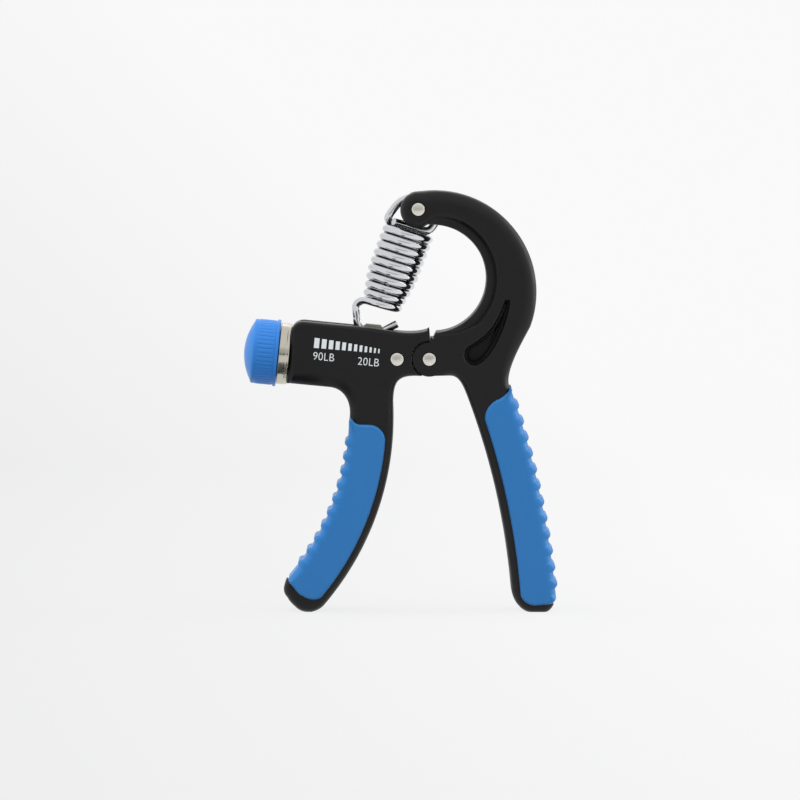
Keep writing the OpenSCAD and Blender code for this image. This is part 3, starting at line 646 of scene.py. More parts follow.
def raised_tree(name):
    """Moves points out along their stored way, in rounded ribs at whole numbers of their phase."""
    tree, found = shape_tree(name, {"Height": 0.001, "Width": 0.55, "Roundness": 0.6, "Count": 10.0})
    for label, kind in (("phase", "FLOAT"), ("lift", "FLOAT"), ("way", "FLOAT_VECTOR")):
        found[label] = add_node(tree, "GeometryNodeInputNamedAttribute", {"Name": label},
                                data_type=kind).outputs["Attribute"]
    for label, operation, *terms in (
            ("nearest", "ROUND", "phase"), ("past", "SUBTRACT", "phase", "nearest"),
            ("half width", "MULTIPLY", "Width", 0.5), ("off", "DIVIDE", "past", "half width"),
            ("square", "MULTIPLY", "off", "off"), ("fallen", "SUBTRACT", 1.0, "square"),
            ("round top", "MAXIMUM", "fallen", 0.0), ("profile", "POWER", "round top", "Roundness"),
            ("begun", "GREATER_THAN", "phase", -0.5), ("end", "SUBTRACT", "Count", 0.5),
            ("not over", "LESS_THAN", "phase", "end"), ("within", "MULTIPLY", "begun", "not over"),
            ("shown", "MULTIPLY", "profile", "within"), ("full", "MULTIPLY", "lift", "Height"),
            ("height", "MULTIPLY", "shown", "full")):
        found[label] = add_node(tree, "ShaderNodeMath", *by_name(found, terms), operation=operation).outputs[0]
    push = add_node(tree, "ShaderNodeVectorMath", links={0: found["way"], "Scale": found["height"]},
                    operation="SCALE").outputs[0]
    moved = add_node(tree, "GeometryNodeSetPosition",
                     links={"Geometry": found["Geometry"], "Offset": push}).outputs[0]
    return end_tree(tree, moved, found["Material"])


def with_tree(piece, tree, **inputs):
    """Runs a geometry tree on a piece with these inputs, and keeps the result as its mesh."""
    shape = piece.modifiers.new(tree.name, "NODES")
    shape.node_group = tree
    names = {s.name: s.identifier for s in tree.interface.items_tree if s.in_out == "INPUT"}
    for name, value in inputs.items():
        shape[names[name.replace("_", " ").capitalize()]] = value
    return baked(piece)


def marks_tree():
    """A row of flat bars that get narrower, shorter and lower from the first to the last."""
    tree, found = shape_tree("scale marks", {
        "First spacing": 0.0027, "Last spacing": 0.0016, "First width": 0.0019, "Last width": 0.0008,
        "First height": 0.0038, "Last height": 0.0015, "Thickness": 0.00002, "Drop": 0.0015, "Count": 12})
    places = add_node(tree, "GeometryNodeMeshLine", {"Offset": (0, 0, 0)},
                      {"Count": found["Count"]}).outputs[0]
    found["index"] = add_node(tree, "GeometryNodeInputIndex").outputs[0]
    last = add_node(tree, "ShaderNodeMath", {1: 1.0}, {0: found["Count"]}, operation="SUBTRACT").outputs[0]
    share = add_node(tree, "ShaderNodeMath", links={0: found["index"], 1: last},
                     operation="DIVIDE").outputs[0]
    found["share"] = share
    for label in ("spacing", "width", "height"):
        ends = {"To Min": found["First " + label], "To Max": found["Last " + label]}
        found[label] = add_node(tree, "ShaderNodeMapRange", links={"Value": share, **ends}).outputs[0]
    for label, operation, *terms in (
            ("both", "ADD", "First spacing", "spacing"), ("mean", "MULTIPLY", "both", 0.5),
            ("along", "MULTIPLY", "index", "mean"), ("lower", "MULTIPLY", "share", "Drop"),
            ("down", "SUBTRACT", 0.0, "lower")):
        found[label] = add_node(tree, "ShaderNodeMath", *by_name(found, terms), operation=operation).outputs[0]
    offset = add_node(tree, "ShaderNodeCombineXYZ",
                      links={"X": found["along"], "Z": found["down"]}).outputs[0]
    moved = add_node(tree, "GeometryNodeSetPosition",
                     links={"Geometry": places, "Offset": offset}).outputs[0]
    bar = add_node(tree, "GeometryNodeMeshCube", {"Size": (1, 1, 1)}).outputs[0]
    size = add_node(tree, "ShaderNodeCombineXYZ",
                    links={"X": found["width"], "Y": found["Thickness"], "Z": found["height"]}).outputs[0]
    bars = add_node(tree, "GeometryNodeInstanceOnPoints",
                    links={"Points": moved, "Instance": bar, "Scale": size}).outputs[0]
    return end_tree(tree, bars, found["Material"])


# ---- Materials ----

def finish_of(name, colour, roughness, rough_grain, bump, bump_grain, **sockets):
    """A principled material whose roughness varies in patches and whose surface has a fine relief.

    roughness is its lowest and highest, rough_grain the patches' size, bump the relief's height
    and bump_grain its size, all sizes in millimetres. A relief of no height is left out.
    """
    material = bpy.data.materials.new(name)
    material.use_nodes = True
    tree = material.node_tree
    shader = tree.nodes["Principled BSDF"]
    shader.inputs["Base Color"].default_value = linear(colour)
    for key, value in sockets.items():
        shader.inputs[key.replace("_", " ")].default_value = value
    coords = add_node(tree, "ShaderNodeTexCoord").outputs["Object"]
    patches = add_node(tree, "ShaderNodeTexNoise", {"Scale": 1 / (rough_grain * MM), "Detail": 3.0},
                       {"Vector": coords}).outputs["Fac"]
    rough = add_node(tree, "ShaderNodeMapRange",
                     {"From Min": 0.3, "From Max": 0.7, "To Min": roughness[0], "To Max": roughness[1]},
                     {"Value": patches}).outputs[0]
    tree.links.new(rough, shader.inputs["Roughness"])
    if bump:
        relief = add_node(tree, "ShaderNodeTexNoise", {"Scale": 1 / (bump_grain * MM), "Detail": 1.0},
                          {"Vector": coords}).outputs["Fac"]
        bumped = add_node(tree, "ShaderNodeBump", {"Strength": 1.0, "Distance": bump * MM},
                          {"Height": relief}).outputs[0]
        tree.links.new(bumped, shader.inputs["Normal"])
    return material


def moulded_abs():
    """Injection-moulded ABS with a fine satin texture from the tool: broad, soft highlights."""
    colour = bpy.context.scene.gripper_colours.frame_hex
    return finish_of("satin moulded abs", colour, (0.38, 0.48), 6.0, 0.006, 0.45, IOR=1.54,
                     Specular_IOR_Level=0.27, Sheen_Weight=0.06, Sheen_Roughness=0.25)


def soft_rubber():
    """Thermoplastic rubber moulded over the handles: matte, with a faint powdery sheen."""
    colour = bpy.context.scene.gripper_colours.grip_hex
    return finish_of("soft thermoplastic rubber", colour, (0.38, 0.5), 5.0, 0.01, 0.5, IOR=1.5,
                     Specular_IOR_Level=0.45, Sheen_Weight=0.2, Sheen_Roughness=0.3)


def knob_plastic():
    """Moulded polypropylene: waxy and glossier than the grips."""
    colour = bpy.context.scene.gripper_colours.knob_hex
    return finish_of("moulded knob polypropylene", colour, (0.3, 0.4), 5.0, 0.004, 0.6, IOR=1.5,
                     Specular_IOR_Level=0.35)


def chromed_wire():
    """Spring steel wire, bright chrome: sharp reflections, with painted shade darkening its colour where the
    turns nearly touch.
    """
    material = finish_of("chromed spring wire", "#dadbde", (0.1, 0.16), 2.0, 0.0004, 0.6, Metallic=1.0)
    tree = material.node_tree
    shader = tree.nodes["Principled BSDF"]
    # Painted shade: the base colour turns dark where ambient occlusion finds other turns of wire close by.
    near = add_node(tree, "ShaderNodeAmbientOcclusion", {"Distance": 1.2 * MM}, samples=8, only_local=True)
    unshaded_share = add_node(tree, "ShaderNodeMapRange", {"From Min": 0.3, "From Max": 0.75},
                          {"Value": near.outputs["AO"]}).outputs[0]
    painted_shade_colour = add_node(tree, "ShaderNodeMix", {6: linear("#26272a"), 7: linear("#dadbde")}, {0: unshaded_share},
                    data_type="RGBA").outputs[2]
    tree.links.new(painted_shade_colour, shader.inputs["Base Color"])
    return material


def nickel_steel():
    """Nickel-plated pins and links: bright, softly brushed."""
    return finish_of("nickel plated steel", "#e4e2d8", (0.26, 0.36), 1.5, 0.035, 0.8, Metallic=1.0)


def turned_steel():
    """Stainless steel turned on a lathe: fine rings around the screw's axis."""
    material = finish_of("turned stainless steel", "#cbc6b8", (0.16, 0.26), 3.0, 0, 0, Metallic=1.0,
                         Anisotropic=0.5)
    tree = material.node_tree
    coords = add_node(tree, "ShaderNodeTexCoord").outputs["Object"]
    axis = (math.cos(BARREL_TILT), 0, -math.sin(BARREL_TILT))
    along = add_node(tree, "ShaderNodeVectorMath", {1: axis}, {0: coords},
                     operation="DOT_PRODUCT").outputs["Value"]
    rings = add_node(tree, "ShaderNodeTexNoise", {"Scale": 1 / (0.3 * MM), "Detail": 2.0}, {"W": along},
                     noise_dimensions="1D").outputs["Fac"]
    bump = add_node(tree, "ShaderNodeBump", {"Strength": 1.0, "Distance": 0.004 * MM}, {"Height": rings})
    tree.links.new(bump.outputs[0], tree.nodes["Principled BSDF"].inputs["Normal"])
    return material


def zinc_slider():
    """Yellow-passivated zinc: khaki metal with a soft, uneven shine."""
    return finish_of("yellow passivated zinc", "#b4b0a2", (0.3, 0.42), 2.0, 0.002, 0.6, Metallic=1.0)


def white_ink():
    """White pad-printing ink: thin, matte and faintly uneven."""
    return finish_of("white printing ink", "#e4eaec", (0.45, 0.6), 1.0, 0.002, 0.3, IOR=1.5)


def nylon():
    """Natural nylon washers: milky and slightly glossy."""
    return finish_of("natural nylon", "#e6e4dc", (0.35, 0.45), 2.0, 0.003, 0.5, IOR=1.53)


# ---- Sizes and colours that a user would change ----

class GripperSizes(bpy.types.PropertyGroup):
    """Sizes of the gripper's visible detail."""
    rib_height: bpy.props.FloatProperty(
        name="Rib height", description="How far the finger ribs stand out of the grips",
        default=1.1 * MM, min=0, unit="LENGTH", subtype="DISTANCE", precision=5)
    rib_width: bpy.props.FloatProperty(
        name="Rib width", description="Share of the ribs' spacing that a rib takes up",
        default=0.56, min=0.2, max=1, subtype="FACTOR")
    flutes: bpy.props.IntProperty(
        name="Flutes", description="Number of ridges around the knob", default=46, min=12, max=80)
    flute_height: bpy.props.FloatProperty(
        name="Flute height", description="Height of the knob's ridges",
        default=0.2 * MM, min=0, unit="LENGTH", subtype="DISTANCE", precision=5)
    thread_pitch: bpy.props.FloatProperty(
        name="Thread pitch", description="Distance between the screw's thread crests",
        default=1.25 * MM, min=0.5 * MM, unit="LENGTH", subtype="DISTANCE", precision=5)


class GripperColours(bpy.types.PropertyGroup):
    """Colours of the gripper's coloured pieces, as sRGB hex values."""
    frame_hex: bpy.props.StringProperty(
        name="Frames", description="Colour of the plastic frames", default="#0f0e0f")
    grip_hex: bpy.props.StringProperty(
        name="Grips", description="Colour of the soft grips", default="#2576bb")
    knob_hex: bpy.props.StringProperty(
        name="Knob", description="Colour of the tension knob", default="#2b7dd0")


def shared(name, make):
    """A material that several pieces use, made the first time it is asked for."""
    return bpy.data.materials.get(name) or make()


def black():
    """The frames' plastic."""
    return shared("satin moulded abs", moulded_abs)


def steel():
    """The pins' and small parts' steel."""
    return shared("nickel plated steel", nickel_steel)


# ---- Operators ----

def bores(r, *places):
    """Cutters for round bores across the frames, with a small chamfer at both faces."""
    half = FRAME_T / 2
    profile = [(-half - 1, 0), (-half - 1, r + 1.3), (-half + 0.3, r), (half - 0.3, r),
               (half + 1, r + 1.3), (half + 1, 0)]
    return [lathe("bore", profile, across_y(place), 96) for place in places]


def knuckle():
    """The right frame's round knuckle, with eased edges."""
    half = FRAME_T / 2 - 0.05
    ease = 0.45
    profile = [(-half, 0), (-half, KNUCKLE_R - ease), (ease - half, KNUCKLE_R), (half - ease, KNUCKLE_R),
               (half, KNUCKLE_R - ease), (half, 0)]
    return lathe("knuckle", profile, across_y(PIVOT), 96)


def ground_cutter():
    """Everything below the flat feet."""
    return prism("ground", [(-200, -50), (200, -50), (200, 0), (-200, 0)], 100)


def grip_core(path, gap=0.0):
    """The handle's core inside a soft grip."""
    return prism("core", path, CORE_T + 2 * gap)


def left_core(gap=0.0):
    """Outline of the left handle's core."""
    return (arc(LEFT_C, LEFT_OUT_R + GRIP_WALL - gap, -0.5, -43.4, 6)
            + arc(LEFT_C, LEFT_IN_R - GRIP_BORDER + 1, -43.4, -0.5, 6))


def right_core(gap=0.0):
    """Outline of the right handle's core."""
    return (arc(RIGHT_IN_C, RIGHT_IN_R + GRIP_BORDER - 0.5, 20.8, 3.9, 6)
            + arc(RIGHT_OUT_C, RIGHT_OUT_R - GRIP_WALL + gap, 5.1, 19.2, 6))


def comma_cutter(side):
    """The recess beside the bay, with a soft rim and a rounded floor."""
    base = comma_outline()
    levels = ((0.4, 1.7), (0.0, 1.3), (-0.15, 0.95), (-0.5, 0.6), (-1.1, 0.3), (-2.0, 0.0), (-5.0, -0.3),
              (-8.0, -0.7), (-9.0, -1.0))
    normals = [outward(base, i) for i in range(len(base))]
    points = []
    for height, out in levels:
        ring = unfolded([p + n * out for p, n in zip(base, normals)], base)
        points += [(p[0], side * (FRAME_T / 2 + height), p[1]) for p in ring]
    return body_of("recess", points, len(base))


class GRIPPER_OT_right_frame(bpy.types.Operator):
    """Build the right frame: handle, arm and nose"""
    bl_idname = "gripper.right_frame"
    bl_label = "Right frame"

    def execute(self, context):
        piece = plate("right_frame_moulding", right_outline(), FRAME_T, EDGE_D)
        radius = RIGHT_IN_R + GRIP_BORDER + 0.5 - GRIP_GAP
        far = RIGHT_OUT_R + 6
        pocket = right_grip_side(radius, -GRIP_GAP) + [at_angle(RIGHT_OUT_C, far, 5.2),
                                                        at_angle(RIGHT_OUT_C, far, 18.72)]
        carved(piece, prism("pocket", pocket, GRIP_T + 2), comma_cutter(-1), comma_cutter(1))
        carved(piece, grip_core(right_core()), knuckle(), join=True)
        carved(piece, *bores(PIN_R + FIT, PIVOT, SPRING_AT), disc(SPRING_AT, NOSE_SLOT_R, NOSE_SLOT),
               disc(PIVOT, SOCKET_R, LINK_T + 2 * WASHER_T + 4 * FIT), ground_cutter())
        finished(piece, "right_handle", "black_plastic", black(), "right_frame")
        return {"FINISHED"}


class GRIPPER_OT_left_frame(bpy.types.Operator):
    """Build the left frame: barrel, socket and handle"""
    bl_idname = "gripper.left_frame"
    bl_label = "Left frame"

    def execute(self, context):
        piece = plate("left_frame_moulding", left_outline(), FRAME_T, EDGE_D)
        radius = LEFT_IN_R - GRIP_BORDER + GRIP_GAP
        far = LEFT_OUT_R - 6
        low, top = LEFT_GRIP_LOW - GRIP_GAP_TURN, LEFT_GRIP_TOP + GRIP_GAP_TURN
        pocket = ([at_angle(LEFT_C, far, low - 0.07)] + left_grip_side(radius, low, top)
                  + [left_at(3, top), left_at(0.8, top + 1.6), at_angle(LEFT_C, far, top + 1.6)])
        carved(piece, prism("pocket", pocket, GRIP_T + 2))
        carved(piece, grip_core(left_core()), join=True)
        half = LINK_WAIST + FIT
        waist = [(LINK_AT[0], PIVOT[1] - half), (PIVOT[0], PIVOT[1] - half),
                 (PIVOT[0], PIVOT[1] + half), (LINK_AT[0], PIVOT[1] + half)]
        bore = lathe("bore", [(-BORE_LEN, 0), (-BORE_LEN, BORE_D / 2), (1, BORE_D / 2), (1, 0)],
                     TURNED_FRAME, 96)
        carved(
            piece, *bores(SOCKET_R, PIVOT), *bores(PIN_R + FIT, LINK_AT),
            disc(LINK_AT, LINK_R + FIT, LINK_T + 2 * FIT), prism("waist", waist, LINK_T + 2 * FIT), bore,
            barrel_box("channel", BORE_LEN - 1, CHANNEL_END, CHANNEL_W, -CHANNEL_W / 2, CHANNEL_W / 2),
            barrel_box("slot", SLOT_START, CHANNEL_END, SLOT_W, 0, 2 * BARREL_TOP),
            barrel_box("hook's room", HOOK_ROOM, SLOT_END, SLOT_W, SLOT_FLOOR, 2 * BARREL_TOP),
            ground_cutter())
        finished(piece, "left_handle", "black_plastic", black(), "left_frame")
        return {"FINISHED"}


class GRIPPER_OT_grips(bpy.types.Operator):
    """Build both soft grips with their finger ribs"""
    bl_idname = "gripper.grips"
    bl_label = "Soft grips"

    def execute(self, context):
        sizes = context.scene.gripper_sizes
        rubber = soft_rubber()
        ribs = raised_tree("finger ribs")
        for name, outline, core, body, count in (
                ("right_grip", right_grip_outline(), right_core(GRIP_GAP), "right_handle", RIGHT_RIBS),
                ("left_grip", left_grip_outline(), left_core(GRIP_GAP), "left_handle", LEFT_RIBS)):
            piece = plate(name + "_sleeve", outline, GRIP_T, GRIP_D)
            with_tree(piece, ribs, Height=sizes.rib_height, Width=sizes.rib_width, Roundness=0.8,
                      Count=float(count), Material=rubber)
            carved(piece, grip_core(core, GRIP_GAP))
            finished(piece, body, "soft_blue", rubber, name, angle=50)
        return {"FINISHED"}


class GRIPPER_OT_pins(bpy.types.Operator):
    """Build the three steel pins, with domed ends"""
    bl_idname = "gripper.pins"
    bl_label = "Steel pins"

    def execute(self, context):
        half = FRAME_T / 2 + PIN_PROUD
        ball = 9.0
        reach = PIN_R - 0.35
        dome = [(half - ball + math.sqrt(ball * ball - r * r), r) for r in (reach * k / 6 for k in range(7))]
        end = dome + [(dome[-1][0] - 0.08, PIN_R - 0.12), (dome[-1][0] - 0.25, PIN_R)]
        profile = end + [(-along, r) for along, r in reversed(end)]
        for node, place, body in (
                ("pivot_pin", PIVOT, "right_handle"), ("spring_pin", SPRING_AT, "right_handle"),
                ("link_pin", LINK_AT, "left_handle")):
            piece = lathe(node + "_domed", profile, across_y(place), 64)
            finished(piece, body, "steel", steel(), node, angle=40)
        return {"FINISHED"}


def fluted_band(flutes):
    """The knob's ridged band between its two rims, as a turned shell with stored ridge phases."""
    start, end, radius = KNOB_START, KNOB_END, KNOB_R
    outer = [(start, 9.0), (start, radius - 0.3), (start + 0.08, radius - 0.1), (start + 0.3, radius),
             (start + 1.0, radius), (start + 1.15, radius - 0.1)]
    band = [(start + 1.25 + (end - start - 2.6) * k / 12, BAND_R - 0.2) for k in range(13)]
    rim = [(end - 1.2, radius - 0.55), (end - 1.1, radius - 0.45), (end - 0.6, radius - 0.5),
           (end - 0.2, radius - 0.75), (end, radius - 1.15), (end - 0.35, DOME_R)]
    hollow = [(KNOB_FLOOR, DOME_R), (KNOB_FLOOR, SHANK_R + FIT), (1.9, SHANK_R + FIT), (1.9, 9.0)]
    profile = outer + band + rim + hollow
    n = len(profile)
    sides = flutes * FLUTE_POINTS
    turns = [i / sides for i in range(sides)]
    points = [around(TURNED_FRAME, along, r, turn) for turn in turns for along, r in profile]
    piece = made("knob_fluted", points, bands(sides, n, closed=True), merge=0)
    lifts = [0.0] * n
    for k in range(len(band)):
        lifts[len(outer) + k] = min(1.0, math.sqrt(min(k, len(band) - 1 - k) / 2))
    turned = TURNED_FRAME.to_3x3()
    store(piece, [i / FLUTE_POINTS for i in range(sides) for _ in profile], lifts * sides,
          [around(turned, 0, 1, turn) for turn in turns for _ in profile])
    return piece


class GRIPPER_OT_knob(bpy.types.Operator):
    """Build the tension knob with its ridges and domed cap"""
    bl_idname = "gripper.knob"
    bl_label = "Knob"

    def execute(self, context):
        sizes = context.scene.gripper_sizes
        plastic = knob_plastic()
        piece = fluted_band(sizes.flutes)
        with_tree(piece, raised_tree("knob ridges"), Height=sizes.flute_height, Width=0.95, Roundness=0.5,
                  Count=float(sizes.flutes + 1), Material=plastic)
        finished(piece, "knob", "knob_blue", plastic, "knob", angle=45)
        ball = (DOME_R ** 2 + DOME_H ** 2) / (2 * DOME_H)
        reach = math.asin((DOME_R - FIT) / ball)
        dome = [(KNOB_END + DOME_H - ball + ball * math.cos(reach * k / 24), ball * math.sin(reach * k / 24))
                for k in range(24, -1, -1)]
        profile = [(KNOB_END - 0.8, 0), (KNOB_END - 0.8, DOME_R - FIT)] + dome
        cap = lathe("knob_dome", profile, TURNED_FRAME, 160)
        finished(cap, "knob", "knob_blue", plastic, "knob_cap", angle=40)
        return {"FINISHED"}


class GRIPPER_OT_collar(bpy.types.Operator):
    """Build the turned steel collar"""
    bl_idname = "gripper.collar"
    bl_label = "Collar"

    def execute(self, context):
        inner_r = COLLAR_R - COLLAR_WALL + FIT
        step_r = COLLAR_R - 0.12
        profile = [(0, inner_r), (0, step_r), (1.1, step_r), (1.25, COLLAR_R), (COLLAR_W, COLLAR_R),
                   (COLLAR_W, inner_r)]
        piece = lathe("collar_turned", eased(profile, 0.35, 4), TURNED_FRAME, 192)
        metal = shared("turned stainless steel", turned_steel)
        finished(piece, "left_handle", "steel", metal, "collar", angle=40)
        return {"FINISHED"}


class GRIPPER_OT_screw(bpy.types.Operator):
    """Build the screw with its cut thread"""
    bl_idname = "gripper.screw"
    bl_label = "Screw"

    def execute(self, context):
        pitch = context.scene.gripper_sizes.thread_pitch / MM
        start, end = BORE_LEN + 1.9, CHANNEL_END - 0.8
        sides, per_pitch = 48, 10
        rows = int((end - start) / pitch * per_pitch)
        points = [around(SCREW_FRAME, u, SHANK_R, i / sides)
                  for u in (-KNOB_FLOOR, BORE_LEN + 1.4) for i in range(sides)]
        for j in range(rows + 1):
            u = start + (end - start) * j / rows
            fade = min(1, (u - start) / pitch, (end - u) / pitch)
            for i in range(sides):
                turn = (u / pitch - i / sides) % 1
                depth = min(1, max(0, 4.8 * abs(turn - 0.5) - 0.7))
                r = THREAD_ROOT_R + (THREAD_R - THREAD_ROOT_R) * (1 - depth) * fade
                points.append(around(SCREW_FRAME, u, r, i / sides))
        piece = body_of("screw_threaded", points, sides)
        finished(piece, "knob", "steel", steel(), "screw", angle=60)
        return {"FINISHED"}


def spring_place(across, back, along):
    """A place in the spring's own frame, in the object's frame."""
    c, s = math.cos(SPRING_LEAN), math.sin(SPRING_LEAN)
    return Vector((SPRING_AT[0] + across * c - along * s, back, SPRING_AT[1] - across * s - along * c))


def hook_place(degrees):
    """A place on the hook's circle through the slider's eye."""
    x, z = barrel_point(*at_angle((SLIDER_REST - HOOK_LEFT, HOOK_UP), HOOK_R, degrees))
    return Vector((x, 0, z))


def wire_route():
    """The wire's centre: the loop over the pin, the coil and the hook through the slider's eye."""
    tip = ((-6.9, -2.9, 7.8), (-5.5, -2, 7.7), (-4.1, -1, 7.6), (-2.7, -0.35, 7.5), (-0.8, 0, 7.45),
           (1.6, 0, 7.35), (3.9, 0, 7.25), (5.8, 0, 6.8), (7.2, 0, 5.6))
    route = [spring_place(*p) for p in tip]
    for i in range(19):
        a = math.radians(10 * i)
        bulge = 0.8 * max(0, (i - 12) / 6) ** 2
        down = LOOP_MID - (LOOP_MID + LOOP_SEAT) * math.sin(a)
        route.append(spring_place(LOOP_R * math.cos(a) - bulge, 0, down))
    leg = ((-9.2, 0, 5.1), (-9.5, 0.1, 6.9), (-9.2, 1.6, 7.8), (-8.3, 3.7, 8.3))
    route += [spring_place(*p) for p in leg]
    steps = 16
    for i in range(3, COIL_TURNS * steps - 1):
        turn = i / steps
        t = max(0, (turn / COIL_TURNS - 0.55) / 0.45)
        r = COIL_R + (COIL_END_R - COIL_R) * t * t * (3 - 2 * t)
        a = math.pi - 2 * math.pi * turn
        route.append(spring_place(COIL_SHIFT + r * math.cos(a), r * math.sin(a),
                                  COIL_START + COIL_PITCH * turn))
    end = COIL_START + COIL_TURNS * COIL_PITCH
    route += [spring_place(-COIL_END_R - 0.6, -2.4, end), spring_place(-COIL_END_R - 2.2, -0.9, end + 1.3),
              spring_place(-COIL_END_R - 2.9, 0, end + 3.4)]
    route += [hook_place(180 + 8 * i) for i in range(17)]
    way = (hook_place(308) - hook_place(296)).normalized()
    return route + [hook_place(308) + 3.4 * way, hook_place(308) + 6.6 * way]


def smooth_route(route, steps):
    """A route with points added along a smooth curve through its own."""
    fuller = []
    for i in range(len(route) - 1):
        a, b, c, d = (route[min(max(j, 0), len(route) - 1)] for j in (i - 1, i, i + 1, i + 2))
        for k in range(steps):
            t = k / steps
            fuller.append(0.5 * (2 * b + (c - a) * t + (2 * a - 5 * b + 4 * c - d) * t * t
                                 + (3 * b - a - 3 * c + d) * t ** 3))
    return fuller + [route[-1]]


class GRIPPER_OT_spring(bpy.types.Operator):
    """Build the extension spring with its loop and hook"""
    bl_idname = "gripper.spring"
    bl_label = "Spring"

    def execute(self, context):
        route = smooth_route(wire_route(), 2)
        sides = 20
        side = Vector((0, 1, 0.3))
        points = []
        last = len(route) - 1
        for i, p in enumerate(route):
            along = (route[min(i + 1, last)] - route[max(i - 1, 0)]).normalized()
            side = (side - side.dot(along) * along).normalized()
            other = along.cross(side)
            ends = [(0.0, WIRE_R)]
            if i == 0:
                ends = [(-0.3, WIRE_R * 0.8), (-0.12, WIRE_R * 0.96), (0.05, WIRE_R)]
            if i == last:
                ends = [(-0.05, WIRE_R), (0.12, WIRE_R * 0.96), (0.3, WIRE_R * 0.8)]
            for shift, r in ends:
                for k in range(sides):
                    a = 2 * math.pi * k / sides
                    points.append(p + along * shift + side * r * math.cos(a) + other * r * math.sin(a))
        piece = body_of("spring_wire", points, sides, merge=0)
        metal = shared("chromed spring wire", chromed_wire)
        finished(piece, "spring", "spring_steel", metal, "spring", angle=50)
        stretch_with_slider(piece)
        return {"FINISHED"}


def stretch_with_slider(piece):
    """Keeps the hook's centre over the slider's eye and lets the coil stretch between its ends."""
    eye = barrel_point(SLIDER_REST - HOOK_LEFT, HOOK_UP)
    at_eye = placed("slider_eye")
    puller = placed("spring_puller")
    for mark, body in ((at_eye, "slider"), (puller, "spring")):
        mark.empty_display_size = 0.004
        mark.location = (eye[0] * MM, 0, eye[1] * MM)
        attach(mark, body)
    follow = puller.constraints.new("COPY_LOCATION")
    follow.target = at_eye
    bpy.context.view_layer.update()
    down = Vector((-math.sin(SPRING_LEAN), 0, -math.cos(SPRING_LEAN)))
    top = Vector((SPRING_AT[0] * MM, 0, SPRING_AT[1] * MM)) + down * COIL_START * MM
    length = COIL_TURNS * COIL_PITCH * MM
    group = piece.vertex_groups.new(name="pull")
    for vertex in piece.data.vertices:
        share = (vertex.co - top).dot(down) / length
        group.add([vertex.index], min(1, max(0, share)), "REPLACE")
    hook = piece.modifiers.new("pull", "HOOK")
    hook.object = puller
    hook.vertex_group = "pull"
    hook.falloff_type = "NONE"
    hook.matrix_inverse = puller.matrix_world.inverted() @ piece.matrix_world


class GRIPPER_OT_slider(bpy.types.Operator):
    """Build the slider that carries the spring's hook along the screw"""
    bl_idname = "gripper.slider"
    bl_label = "Slider"

    def execute(self, context):
        half = SLIDER_LEN / 2
        side = NUT_W / 2
        block = prism("slider_block", [(-half, -side), (half, -side), (half, side), (-half, side)],
                      NUT_W, SLIDER_FRAME)
        top = BARREL_TOP + 1.1
        chamfer = 1.3
        lug = [(-half, side - 1), (half, side - 1), (half, top - chamfer), (half - chamfer, top),
               (chamfer - half, top), (-half, top - chamfer)]
        carved(block, prism("lug", lug, SLOT_W - 0.6, SLIDER_FRAME), join=True)
        around_hook, around_wire = 96, 16
        points = []
        for i in range(around_hook):
            a = 2 * math.pi * i / around_hook
            for k in range(around_wire):
                b = 2 * math.pi * k / around_wire
                r = HOOK_R + EYE_R * math.cos(b)
                points.append(SLIDER_FRAME @ Vector((r * math.cos(a) - HOOK_LEFT, EYE_R * math.sin(b),
                                                     HOOK_UP + r * math.sin(a))))
        eye = made("eye", points, bands(around_hook, around_wire, closed=True))
        room = [(-2.4, 9.2), (half + 0.3, 6.6), (half + 0.3, 12.6), (-2.4, 12.0)]
        radius = THREAD_R + FIT
        bore = lathe("bore", [(-60, 0), (-60, radius), (0, radius), (0, 0)], TURNED_FRAME, 64)
        carved(block, eye, bore, prism("room", room, 2 * EYE_R, SLIDER_FRAME))
        softened(block, 0.25)
        metal = shared("yellow passivated zinc", zinc_slider)
        finished(block, "slider", "zinc", metal, "slider", angle=40)
        return {"FINISHED"}


class GRIPPER_OT_small_parts(bpy.types.Operator):
    """Finish the small parts that keep their solids"""
    bl_idname = "gripper.small_parts"
    bl_label = "Small parts"

    def execute(self, context):
        metals = {"link_plate": steel(), "retaining_ring": steel(), "knob_screw": steel(),
                  "end_bush": shared("yellow passivated zinc", zinc_slider)}
        white = shared("natural nylon", nylon)
        metals.update({"link_washers": white, "thrust_washer": white})
        for name, material in metals.items():
            solid = frame["nodes"][name]
            solid.data.materials.clear()
            solid.data.materials.append(material)
        return {"FINISHED"}


def printed_text(name, words, width, x, z, ink):
    """Words printed on the barrel's front face, fitted to a width."""
    curve = bpy.data.curves.new(name, "FONT")
    curve.body = words
    curve.size = 1
    curve.space_character = 1.05
    curve.offset = -0.006
    curve.extrude = 0.004
    flat = placed(name, curve)
    mesh = bpy.data.meshes.new_from_object(flat.evaluated_get(bpy.context.evaluated_depsgraph_get()))
    bpy.data.objects.remove(flat)
    xs = [v.co.x for v in mesh.vertices]
    ys = [v.co.y for v in mesh.vertices]
    scale = width * MM / (max(xs) - min(xs))
    mesh.transform(Matrix.Translation((-min(xs), -min(ys), 0)))
    mesh.transform(Matrix.Diagonal((scale, scale * 1.1, 0.015 * MM / 0.004, 1)))
    upright = Matrix.Rotation(BARREL_TILT, 4, "Y") @ Matrix.Rotation(math.pi / 2, 4, "X")
    mesh.transform(Matrix.Translation((x * MM, PRINT_Y * MM, z * MM)) @ upright)
    finished(placed(name, mesh), "left_handle", "washer_white", ink)


